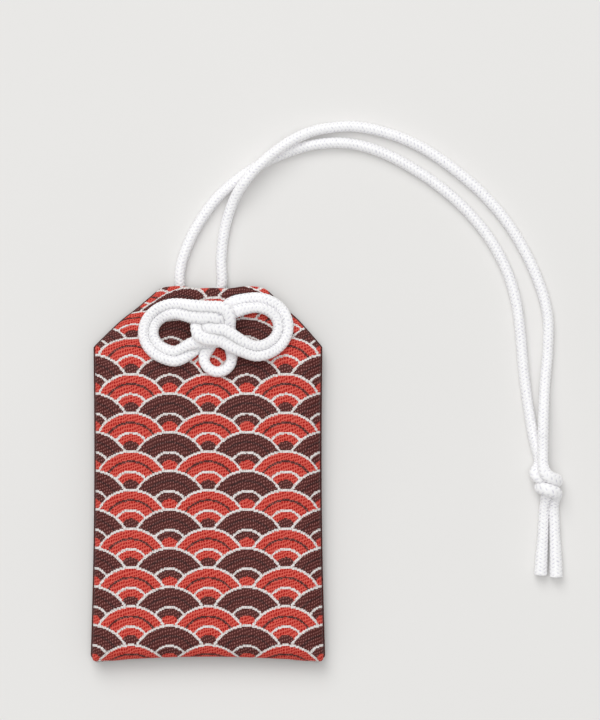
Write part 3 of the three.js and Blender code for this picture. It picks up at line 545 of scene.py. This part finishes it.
# Plain dark twill: matt maroon, with faint lighter ribs that are a painted highlight, and painted shade
# between them.
def dark_twill():
    material, tree, shader = new_material("dark_maroon_twill", 0.75, 0.25)
    raised = twill(tree)
    # The ramp lays painted light on the weave: lighter on the ribs, darker between them.
    tint = add_node(tree, "ShaderNodeValToRGB", links={"Fac": raised},
                    ramp=[(0.0, "#331312"), (1.0, "#5C2D29")])
    tree.links.new(tint.outputs["Color"], shader.inputs["Base Color"])
    relief = add_node(tree, "ShaderNodeBump", {"Strength": WEAVE_STRENGTH, "Distance": WEAVE_DEPTH * MM},
                      {"Height": raised})
    tree.links.new(relief.outputs[0], shader.inputs["Normal"])
    return material


back = sewn_panel("back_twill", dark_twill(), back_height, inward=1, seam_inset=0.0,
                  foot_inset=0.5, foot_lip=-0.2, mouth_roll=-0.25)
cut_slit(back)
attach(back, "pouch")
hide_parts("back_panel")

# Interlinings: stiff pressed felt behind each cloth panel, cut short of the seams and of the head.
# They lie loose between the cloth and the contents, and keep the pouch's faces flat.
LINING_HALF_WIDTH = 18.9
LINING_FOOT, LINING_TOP = -33.6, 18.0
LINING_THICKNESS = 0.2
LINING_GAP = 0.35
LINING_COLUMNS, LINING_ROWS = 40, 54
FELT_FIBRE, FELT_DEPTH = 0.5, 0.05


# Non-woven felt: matt and off-white, with short fibres that mottle it.
def pressed_felt():
    material, tree, shader = new_material("pressed_felt", 0.95, 0.1)
    place = add_node(tree, "ShaderNodeTexCoord")
    fibres = add_node(tree, "ShaderNodeTexNoise",
                      {"Scale": 1 / (FELT_FIBRE * MM), "Detail": 3.0, "Distortion": 1.5},
                      {"Vector": place.outputs["UV"]})
    tint = add_node(tree, "ShaderNodeValToRGB", links={"Fac": fibres.outputs["Fac"]},
                    ramp=[(0.0, "#CFCBC1"), (1.0, "#E8E5DD")])
    tree.links.new(tint.outputs["Color"], shader.inputs["Base Color"])
    relief = add_node(tree, "ShaderNodeBump", {"Strength": 0.5, "Distance": FELT_DEPTH * MM},
                      {"Height": fibres.outputs["Fac"]})
    tree.links.new(relief.outputs[0], shader.inputs["Normal"])
    return material


def lining(name, outer_face, inward, material):
    """A felt sheet that follows a panel's outer face, inside the cloth."""
    felt = bmesh.new()
    bmesh.ops.create_grid(felt, x_segments=LINING_COLUMNS, y_segments=LINING_ROWS, size=0.5)
    flat = np.array([vertex.co for vertex in felt.verts])
    x = flat[:, 0] * 2 * LINING_HALF_WIDTH
    y = LINING_FOOT + (flat[:, 1] + 0.5) * (LINING_TOP - LINING_FOOT)
    z = outer_face(x, y) + inward * (CLOTH_THICKNESS + LINING_GAP)
    follow_cloth(felt, flat, np.column_stack([x, y, z]), LINING_COLUMNS, LINING_ROWS)
    thicken(felt, inward, LINING_THICKNESS)
    return new_object(name, felt, material)


felt_cloth = pressed_felt()
front_felt = lining("front_felt", front_height, -1, felt_cloth)
back_felt = lining("back_felt", back_height, 1, felt_cloth)
for felt, node, under in ((front_felt, "front_interlining", "charm_wrapper"),
                          (back_felt, "back_interlining", "back_twill")):
    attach(felt, "pouch")
    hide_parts(node)

# Contents: a stiffening card, and the wrapped slip of cypress wood, which can slide a little along the pouch.
# The card is plain pulp board, the wrapper is folded handmade paper, and the slip is planed along its grain.
PULP_FLECK = 0.8
PAPER_FIBRE = 1.5
GRAIN_WIDTH, GRAIN_DRAW = 1.2, 0.06


# Pulp board: matt grey-brown with darker flecks.
def pulp_card():
    material, tree, shader = new_material("pulp_card", 0.9, 0.15)
    place = add_node(tree, "ShaderNodeTexCoord")
    flecks = add_node(tree, "ShaderNodeTexNoise", {"Scale": 1 / (PULP_FLECK * MM), "Detail": 4.0},
                      {"Vector": place.outputs["Object"]})
    tint = add_node(tree, "ShaderNodeValToRGB", links={"Fac": flecks.outputs["Fac"]},
                    ramp=[(0.0, "#AD9D80"), (1.0, "#D3C4A6")])
    tree.links.new(tint.outputs["Color"], shader.inputs["Base Color"])
    return material


# Mulberry paper: warm white with long pale fibres.
def mulberry_paper():
    material, tree, shader = new_material("mulberry_paper", 0.9, 0.15)
    place = add_node(tree, "ShaderNodeTexCoord")
    fibres = add_node(tree, "ShaderNodeTexNoise",
                      {"Scale": 1 / (PAPER_FIBRE * MM), "Detail": 3.0, "Distortion": 4.0},
                      {"Vector": place.outputs["Object"]})
    tint = add_node(tree, "ShaderNodeValToRGB", links={"Fac": fibres.outputs["Fac"]},
                    ramp=[(0.0, "#E6E1D4"), (1.0, "#F5F2EA")])
    tree.links.new(tint.outputs["Color"], shader.inputs["Base Color"])
    return material


# Planed cypress: fine straight grain along the slip, in pale yellow and tan.
def planed_cypress():
    material, tree, shader = new_material("planed_cypress", 0.55)
    place = add_node(tree, "ShaderNodeTexCoord")
    drawn = add_node(tree, "ShaderNodeMapping", {"Scale": (1.0, GRAIN_DRAW, 1.0)},
                     {"Vector": place.outputs["Object"]})
    grain = add_node(tree, "ShaderNodeTexNoise", {"Scale": 1 / (GRAIN_WIDTH * MM), "Detail": 3.0},
                     {"Vector": drawn.outputs[0]})
    tint = add_node(tree, "ShaderNodeValToRGB", links={"Fac": grain.outputs["Fac"]},
                    ramp=[(0.0, "#C59C63"), (1.0, "#E3C797")])
    tree.links.new(tint.outputs["Color"], shader.inputs["Base Color"])
    return material


for node, finish in (("stiffener_card", pulp_card()), ("charm_wrapper", mulberry_paper()),
                     ("prayer_slip", planed_cypress())):
    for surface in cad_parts[node].material_slots:
        surface.material = finish

# Bow knot: one length of white round braid, limp and 2.1 mm thick, tied on the front of the pouch.
# Two interlocked coils of two turns make the ears, and a small loop hangs out below the heart.
# Both legs of the cord go down through the slit behind the heart.
CORD_DIAMETER = 2.1
CORD_RADIUS = 1.04
BRAID_COLUMNS, BRAID_PITCH, BRAID_SLANT = 8, 0.78, 0.5
BRAID_DEPTH, BRAID_MEAN, BRAID_CROWN = 0.16, 0.6, 1.5
BRAID_SIDES, BRAID_STEP = 48, 0.14
ROUTE_STEP, CURVE_STEPS = 0.5, 24
FIRST_UP = (0.3, 0.2, 0.93)
SEAM_MERGE = 1e-7


def even_route(points, step):
    along = np.concatenate([[0], np.cumsum(np.linalg.norm(np.diff(points, axis=0), axis=1))])
    wanted = np.linspace(0, along[-1], max(int(round(along[-1] / step)), 2) + 1)
    return np.column_stack([np.interp(wanted, along, points[:, k]) for k in range(3)])


def smooth_route(points, step):
    """Evenly spaced points on a smooth curve through the given ones."""
    given = np.array(points, float)
    padded = np.vstack([2 * given[0] - given[1], given, 2 * given[-1] - given[-2]])
    knots = np.concatenate([[0], np.cumsum(np.sqrt(np.linalg.norm(np.diff(padded, axis=0), axis=1)))])
    drawn = []
    for i in range(1, len(padded) - 2):
        t0, t1, t2, t3 = knots[i - 1:i + 3]
        p0, p1, p2, p3 = padded[i - 1:i + 3]
        t = np.linspace(t1, t2, CURVE_STEPS, endpoint=False)[:, None]
        a1 = ((t1 - t) * p0 + (t - t0) * p1) / (t1 - t0)
        a2 = ((t2 - t) * p1 + (t - t1) * p2) / (t2 - t1)
        a3 = ((t3 - t) * p2 + (t - t2) * p3) / (t3 - t2)
        b1 = ((t2 - t) * a1 + (t - t0) * a2) / (t2 - t0)
        b2 = ((t3 - t) * a2 + (t - t1) * a3) / (t3 - t1)
        drawn.append(((t2 - t) * b1 + (t - t1) * b2) / (t2 - t1))
    return even_route(np.vstack(drawn + [given[-1:]]), step)


def thinned(points):
    """Every second point with the last one, drawn smooth again."""
    return smooth_route(np.vstack([points[:-1:2], points[-1:]]), BRAID_STEP)


def route_length(route):
    return float(np.linalg.norm(np.diff(route, axis=0), axis=1).sum())


def carried_frames(route):
    """Tangents and a pair of side directions that turn as little as possible along the route."""
    tangents = np.gradient(route, axis=0)
    tangents /= np.linalg.norm(tangents, axis=1)[:, None]
    sides = np.empty_like(tangents)
    side = np.cross(tangents[0], FIRST_UP)
    for i, tangent in enumerate(tangents):
        side = side - tangent * side.dot(tangent)
        side /= np.linalg.norm(side)
        sides[i] = side
    return tangents, sides, np.cross(tangents, sides)


def braid_cord(name, route, section_at, material):
    """Wraps a grid round the route, raises the braid's stitches on it, and closes both ends flat.
    section_at gives the radius, the share of its height that the cord keeps, and how square it is pressed."""
    route = even_route(route, BRAID_STEP)
    tangents, sides, ups = carried_frames(route)
    rings = len(route) - 1
    tube = bmesh.new()
    bmesh.ops.create_grid(tube, x_segments=rings, y_segments=BRAID_SIDES, size=0.5)
    flat = np.array([vertex.co for vertex in tube.verts])
    ring = np.rint((flat[:, 0] + 0.5) * rings).astype(int)
    turn = np.rint((flat[:, 1] + 0.5) * BRAID_SIDES) / BRAID_SIDES
    along = ring * (route_length(route) / rings)
    column = turn * BRAID_COLUMNS
    slant = BRAID_SLANT * np.abs((column + 0.5) % 2 - 1)
    stitch = 0.5 + 0.5 * np.cos(2 * np.pi * (along / BRAID_PITCH + slant)) * np.cos(np.pi * column)
    height = 1 - (1 - stitch) ** BRAID_CROWN
    radius, press, square = (values[ring] for values in section_at(route))
    radius = radius + BRAID_DEPTH * (height - BRAID_MEAN)
    radius = np.where((ring == 0) | (ring == rings), 0.0, radius)
    angle = 2 * np.pi * turn
    outward = np.cos(angle)[:, None] * sides[ring] + np.sin(angle)[:, None] * ups[ring]
    rise = np.clip(np.abs(outward[:, 2]) / np.sqrt(np.clip(1 - tangents[ring, 2] ** 2, 0.1, 1)), 0, 1)
    radius = radius * (rise ** square + (1 - rise ** 2) ** (square / 2)) ** (-1 / square)
    outward[:, 2] *= press
    places = (route[ring] + radius[:, None] * outward) * MM
    raised = tube.verts.layers.float.new("stitch_height")
    counted = tube.loops.layers.uv.new("braid")
    tube.verts.index_update()
    for vertex, place, share in zip(tube.verts, places, height):
        vertex.co = place
        vertex[raised] = share
    spots = np.column_stack([along / BRAID_PITCH, column])
    for face in tube.faces:
        face.smooth = True
        for corner in face.loops:
            corner[counted].uv = spots[corner.vert.index]
    bmesh.ops.remove_doubles(tube, verts=tube.verts, dist=SEAM_MERGE)
    bmesh.ops.recalc_face_normals(tube, faces=tube.faces)
    return new_object(name, tube, material)


YARN_SIZE, YARN_VARIES, YARN_SINK = 0.9, 0.9, 0.35
BRIGHT_FROM = 0.65


# Braided polyester yarn: bright, slightly silky stitches with soft grey between them, which is painted shade
# from the stitch height.
def white_braid():
    material, tree, shader = new_material("white_braided_polyester", 0.55)
    shader.inputs["Sheen Weight"].default_value = 0.25
    shader.inputs["Sheen Roughness"].default_value = 0.4
    shader.inputs["Subsurface Weight"].default_value = 0.7
    shader.inputs["Subsurface Radius"].default_value = (1.0, 1.0, 1.0)
    shader.inputs["Subsurface Scale"].default_value = 1.0 * MM
    raised = add_node(tree, "ShaderNodeAttribute", {"attribute_name": "stitch_height"})
    place = add_node(tree, "ShaderNodeTexCoord")
    yarns = add_node(tree, "ShaderNodeTexNoise", {"Scale": 1 / (YARN_SIZE * MM), "Detail": 1.0},
                     {"Vector": place.outputs["Object"]})
    uneven = add_node(tree, "ShaderNodeMath", {"operation": "MULTIPLY_ADD", 1: YARN_VARIES, 2: -YARN_SINK},
                      {0: yarns.outputs["Fac"]})
    varied = add_node(tree, "ShaderNodeMath", {"operation": "ADD"},
                      {0: raised.outputs["Fac"], 1: uneven.outputs[0]})
    # Painted shade: the low places between the stitches are greyer, with random yarn variation laid over it.
    tint = add_node(tree, "ShaderNodeValToRGB", links={"Fac": varied.outputs[0]},
                    ramp=[(0.0, "#D3D2DA"), (BRIGHT_FROM, "#FDFCFE")])
    tree.links.new(tint.outputs["Color"], shader.inputs["Base Color"])
    return material


FIRMLY_HELD = 0.9
NEAR_TURNS, LOOK_AGAIN, PUSHES = 2.0, 15, 4


def draw_tight(cords, holds, floor, thick, squash, rounds, pull, sink):
    """Draws cords tight: points are pulled straight and down, and held off the surface and other turns."""
    points = np.vstack(cords)
    targets = points.copy()
    sizes = [len(cord) for cord in cords]
    starts = np.cumsum([0] + sizes[:-1])
    owner = np.repeat(np.arange(len(cords)), sizes)
    spacing = np.linalg.norm(np.diff(cords[0], axis=0), axis=1).mean()
    inner = np.concatenate([np.arange(s + 1, s + n - 1) for s, n in zip(starts, sizes)])
    first, second = np.triu_indices(len(points), 1)
    apart = (owner[first] != owner[second]) | ((second - first) * spacing > NEAR_TURNS * thick)
    first, second = first[apart], second[apart]
    holds = np.vstack(holds)
    free = 1 - holds
    fixed = holds > FIRMLY_HELD
    for turn in range(rounds):
        if turn % LOOK_AGAIN == 0:
            near = np.linalg.norm(points[first] - points[second], axis=1) < NEAR_TURNS * thick
            one, two = first[near], second[near]
        bend = np.zeros_like(points)
        bend[inner] = 0.5 * (points[inner - 1] + points[inner + 1]) - points[inner]
        points = points + pull * bend * free
        points[:, 2] -= sink * free[:, 2]
        points += holds * (targets - points)
        for _ in range(PUSHES):
            between = points[one] - points[two]
            far = np.linalg.norm(between * (1, 1, 1 / squash), axis=1)
            hit = far < thick
            push = between[hit] * (0.5 * (thick / np.maximum(far[hit], 1e-6) - 1))[:, None]
            moved = np.zeros_like(points)
            met = np.zeros(len(points))
            np.add.at(moved, one[hit], push)
            np.add.at(moved, two[hit], -push)
            np.add.at(met, one[hit], 1)
            np.add.at(met, two[hit], 1)
            points += moved / np.maximum(met, 1)[:, None] * np.where(fixed, 0, 1)
            resting = np.maximum(points[:, 2], floor(points[:, 0], points[:, 1]))
            points[:, 2] = np.where(fixed[:, 2], points[:, 2], resting)
    return [points[s:s + n] for s, n in zip(starts, sizes)]


HEART, HEART_FOOT = np.array((1.1, 30.3)), (0, -2.0)
HEART_EDGE = (4.5, 8.5)
HEART_FULLNESS, HEART_PRESSED = 0.27, 0.74
SQUARED = 0.6
EAR_STEPS, EAR_CLIMB, EAR_FLATNESS = 10, 0.75, 4
LEFT_EAR = {"neck": 7.2, "reach": 13.9, "height": 11.4, "droop": 1.8}
RIGHT_EAR = {"neck": 8.4, "reach": 14.9, "height": 11.6, "droop": 0.7}
SMALL_LOOP = {"x": 0.95, "y": -6.9, "radius": 2.75, "steps": 8}
LANE_WIDTH, LAYER_HEIGHT, ON_CLOTH = 1.95, 1.5, 0.02
EAR_GRIP, EAR_NECK_SHARE, RUN_GRIP = 0.35, 0.4, 0.12
CORD_REST = 0.95
SLIT_PASS, LEG_LEVEL, LEG_CLEAR = 0.4, 1.0, 0.9
LOWER_LEG = np.array([(-3.32, 31.38, 1.1), (-1.17, 30.32, 1.1), (-0.3, 29.9, 1.45), (0, 29.75, 2.4),
                      (0, 29.75, 4.3)])
UPPER_LEG = np.array([(0, 32.15, 4.3), (0, 32.15, 2.4), (0.12, 32.48, 1.45), (0.45, 33.37, 1.1),
                      (1.3, 35.6, 1.1)])


def knot_floor(x, y):
    return front_height(x, y) + CORD_REST


def leg_floor(x, y):
    """The cord rests on the front panel, but its legs pass down through the slit."""
    beyond = np.maximum(np.abs(y - SLIT_MIDDLE[1]) - SLIT_HALF, 0)
    return np.where(np.hypot(x - SLIT_MIDDLE[0], beyond) < SLIT_PASS, LEG_LEVEL, knot_floor(x, y))


def heart_section(points):
    """Laid on the cloth, the cord is pressed a little square, and in the heart it is also fuller and flatter.
    Its legs stay round."""
    away = np.linalg.norm(points[:, :2] - HEART, axis=1)
    laid = smooth_step(-LEG_CLEAR, 0.0, points[:, 2] - knot_floor(points[:, 0], points[:, 1]))
    pressed = (1 - smooth_step(*HEART_EDGE, away)) * laid
    return CORD_RADIUS + HEART_FULLNESS * pressed, 1 - (1 - HEART_PRESSED) * pressed, 2 + SQUARED * laid


def tie_bow():
    """Ties the bow. Its route is written from the heart, as (x, y, layer, grip), and then drawn tight."""
    route = []

    def ear(side, size, lane, low, high):
        half_x = size["reach"] - size["neck"] - lane * LANE_WIDTH
        half_y = size["height"] / 2 - lane * LANE_WIDTH
        for k in range(EAR_STEPS + 1):
            angle = side * math.pi * (0.5 - k / EAR_STEPS)
            layer = EAR_CLIMB * math.sin(angle) ** EAR_FLATNESS * (low if angle < 0 else high)
            route.append((side * (size["neck"] + half_x * math.cos(angle)),
                          half_y * math.sin(angle) - size["droop"],
                          layer, EAR_GRIP * max(math.cos(angle), EAR_NECK_SHARE)))

    def run(*points):
        route.extend((x, y, layer, RUN_GRIP) for x, y, layer in points)

    run((-1.9, -2.0, 0), (-3.3, -4.4, 0))
    ear(-1, LEFT_EAR, 0, 0, 2)
    run((-4.2, 3.4, 2), (-1.2, 3.1, 2.1), (1.4, 3.05, 2.1), (2.75, 2.4, 2), (3.15, 1.2, 1.8),
        (3.15, -0.4, 1.3), (3.1, -1.6, 1), (2.6, -2.9, 1), (1.0, -3.4, 1), (-3.0, -3.8, 0.9))
    ear(-1, LEFT_EAR, 1, 0.8, 2)
    run((-4.2, 1.4, 2), (-1.2, 1.05, 2.1), (0.4, 1.0, 2.1), (1.15, 0.5, 1.9), (1.2, -0.4, 1.4),
        (1.1, -1.3, 0.9), (0.9, -2.2, 0.3), (-0.2, -3.6, 0))
    for k in range(SMALL_LOOP["steps"] + 1):
        angle = math.pi * (1 + k / SMALL_LOOP["steps"])
        route.append((SMALL_LOOP["x"] + SMALL_LOOP["radius"] * math.cos(angle),
                      SMALL_LOOP["y"] + SMALL_LOOP["radius"] * math.sin(angle), 0, EAR_GRIP))
    run((3.3, -4.2, 0), (2.7, -2.2, 0), (2.2, 0.2, 0), (2.1, 2.0, 0), (3.0, 3.5, 0.3), (4.8, 4.5, 0.2))
    ear(1, RIGHT_EAR, 0, 2, 0)
    run((4.6, -5.0, 2), (1.6, -3.3, 2.1), (-1.4, -3.05, 2.1), (-2.75, -2.4, 2), (-3.15, -1.2, 1.8),
        (-3.15, 0.4, 1.3), (-3.1, 1.6, 1), (-2.6, 2.9, 1), (-1.0, 2.9, 1), (1.2, 2.0, 1), (3.2, 1.9, 1),
        (4.8, 2.5, 0.9))
    ear(1, RIGHT_EAR, 1, 2, 0.8)
    run((4.6, -3.05, 2), (1.6, -1.25, 2.1), (-0.4, -1.0, 2.1), (-1.15, -0.5, 1.9), (-1.2, 0.4, 1.3),
        (-1.1, 1.0, 0.6))

    plan = np.array(route)
    x, y = plan[:, 0] + HEART[0], plan[:, 1] + HEART[1]
    base = float(knot_floor(*(HEART + HEART_FOOT)))
    ground = knot_floor(x, y)
    height = np.where(plan[:, 2] > ON_CLOTH, np.maximum(base + plan[:, 2] * LAYER_HEIGHT, ground), ground)
    given = np.vstack([LOWER_LEG, np.column_stack([x, y, height]), UPPER_LEG])
    gripped = np.concatenate([np.ones(len(LOWER_LEG)), plan[:, 3], np.ones(len(UPPER_LEG))])
    drawn = smooth_route(given, ROUTE_STEP)
    spot = np.linalg.norm(drawn[:, None] - given[None], axis=2).argmin(axis=0)
    grip = np.interp(np.arange(len(drawn)), spot, gripped)
    return draw_tight([drawn], [np.column_stack([grip, grip, grip])], leg_floor, thick=LANE_WIDTH,
                      squash=HEART_PRESSED, rounds=160, pull=0.08, sink=0.0)[0]


cord_yarn = white_braid()
bow = braid_cord("bow_knot_cord", thinned(tie_bow()), heart_section, cord_yarn)
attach(bow, "pouch")
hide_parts("bow_knot")

# Hanging loop: the cord's two strands leave the slit behind the head, lie in a loop, and are tied together.
# The right strand rides over the left one and becomes the outer one.
# Below the end knot both are cut off as tails, whose ends spread a little.
LEFT_ROUTE = [
    (-5.6, 0.3, 0), (-5.6, 3.75, 0), (-3.75, 9.6, 0), (0.8, 17, 0), (5.45, 21.55, 0), (10.35, 24.8, 0),
    (15.5, 27.15, 0), (20.4, 28.65, 0), (26.35, 29.2, 0), (31.2, 28.45, 0), (35.15, 27.1, 0),
    (40.05, 24.6, 0), (45.25, 21.2, 0), (50.3, 17, 0), (55.35, 11.3, 0), (59.2, 4.7, 0),
    (61.45, -2.2, 0), (62.4, -9.2, 0), (63.05, -16.7, 0), (63.9, -23.2, 0), (64.9, -29.2, 0),
]
RIGHT_ROUTE = [
    (2.7, 0.8, 0), (2.6, 5.8, 0), (3.25, 11.75, 0), (4.9, 17.15, 0.35), (7.4, 21.45, 1), (11.2, 25.5, 1),
    (15.8, 29, 1), (20.6, 31.35, 0.3), (25.4, 32.3, 0), (29.75, 32.4, 0), (35.2, 31.3, 0),
    (40.1, 29.55, 0), (45.05, 26.85, 0), (50.05, 23.2, 0), (54.95, 18.9, 0), (59.95, 13, 0),
    (63.8, 6.5, 0), (66.65, -0.4, 0), (67.85, -5.7, 0), (67.85, -12.2, 0), (67.2, -19.2, 0.4),
    (66.85, -26.2, 1),
]
LEFT_KNOT = [
    (65.75, 4.6, 1.1), (66.15, 2.7, 1.3), (65.75, 1.4, 1.8), (65.1, 0.5, 2.6), (65.7, -0.3, 3.3),
    (67.1, -0.7, 3.1), (68.15, -1.7, 2.7), (68.0, -3.0, 2.4), (67.5, -4.8, 1.8), (67.15, -6.6, 1.35),
    (67.0, -9.0, 1.12), (66.88, -12.1, 1.15), (66.6, -16.0, 1.26), (66.36, -20.1, 1.4),
]
RIGHT_KNOT = [
    (66.75, 4.6, 3.5), (66.75, 2.4, 3.9), (67.1, 0.5, 4.25), (68.1, -0.35, 4.25), (69.15, -0.9, 3.5),
    (69.5, -1.2, 2.3), (68.8, -1.4, 1.05), (67.6, -1.8, 1.05), (66.75, -2.15, 1.3), (66.35, -2.4, 2.5),
    (66.7, -2.55, 3.7), (67.5, -2.75, 4.3), (68.7, -3.1, 4.1), (69.4, -3.5, 3.1), (69.3, -4.1, 2.0),
    (69.1, -5.0, 1.6), (68.98, -6.6, 1.3), (69.15, -9.0, 1.12), (69.25, -12.1, 1.15), (69.42, -16.5, 1.26),
    (69.5, -20.5, 1.36),
]
LEFT_LEG = [(-2.96, 31.20), (-4.85, 32.12)]
RIGHT_LEG = [(1.15, 35.24), (2.2, 36.7)]
STRAND_LEVEL = 1.05
END_KNOT, END_KNOT_EDGE = (67.45, -1.7), (2.2, 4.2)
END_KNOT_FULLNESS, END_KNOT_PRESS, END_KNOT_LANE = 0.18, 0.2, 1.7
FREE_X, FREE_Y = 50, (-9, 8)
KNOT_GRIP, KNOT_LIFT_GRIP = 0.08, 0.04
CUT_SPREAD, CUT_FROM, CUT_END = 0.26, -10.0, -20.4


def strand_route(leg, route, knot):
    given = [(x, y, STRAND_LEVEL) for x, y in leg]
    given += [(x, HALF_HEIGHT + y, STRAND_LEVEL + rise * CORD_DIAMETER) for x, y, rise in route]
    drawn = smooth_route(given + knot, ROUTE_STEP)
    drawn[:, 2] = np.maximum(drawn[:, 2], STRAND_LEVEL)
    return drawn


def table_floor(x, y):
    return np.full(np.shape(x), STRAND_LEVEL)


def tie_end():
    """Both strands with their end knot drawn tight; only the cord in the knot is free to move."""
    cords = [strand_route(LEFT_LEG, LEFT_ROUTE, LEFT_KNOT), strand_route(RIGHT_LEG, RIGHT_ROUTE, RIGHT_KNOT)]
    holds = []
    for cord in cords:
        still = (cord[:, 1] > FREE_Y[1]) | (cord[:, 0] < FREE_X) | (cord[:, 1] < FREE_Y[0])
        grip = np.where(still, 1.0, KNOT_GRIP)
        holds.append(np.column_stack([grip, grip, np.where(still, 1.0, KNOT_LIFT_GRIP)]))
    return draw_tight(cords, holds, table_floor, thick=END_KNOT_LANE, squash=0.9, rounds=160, pull=0.12,
                      sink=0.01)


def strand_section(points):
    """The cord is pressed broad and flat in the end knot, and its cut end spreads."""
    away = np.hypot(points[:, 0] - END_KNOT[0], points[:, 1] - END_KNOT[1])
    in_knot = 1 - smooth_step(*END_KNOT_EDGE, away)
    cut = smooth_step(CUT_FROM, CUT_END, points[:, 1])
    radius = CORD_RADIUS + END_KNOT_FULLNESS * in_knot + CUT_SPREAD * cut
    return radius, 1 - END_KNOT_PRESS * in_knot, 2 + SQUARED * in_knot


for side, route in zip(("left", "right"), tie_end()):
    route = thinned(route)
    strand = braid_cord(f"loop_cord_{side}", route, strand_section, cord_yarn)
    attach(strand, "pouch")
    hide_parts(f"loop_strand_{side}", f"tail_{side}", *(["end_knot"] if side == "right" else []))
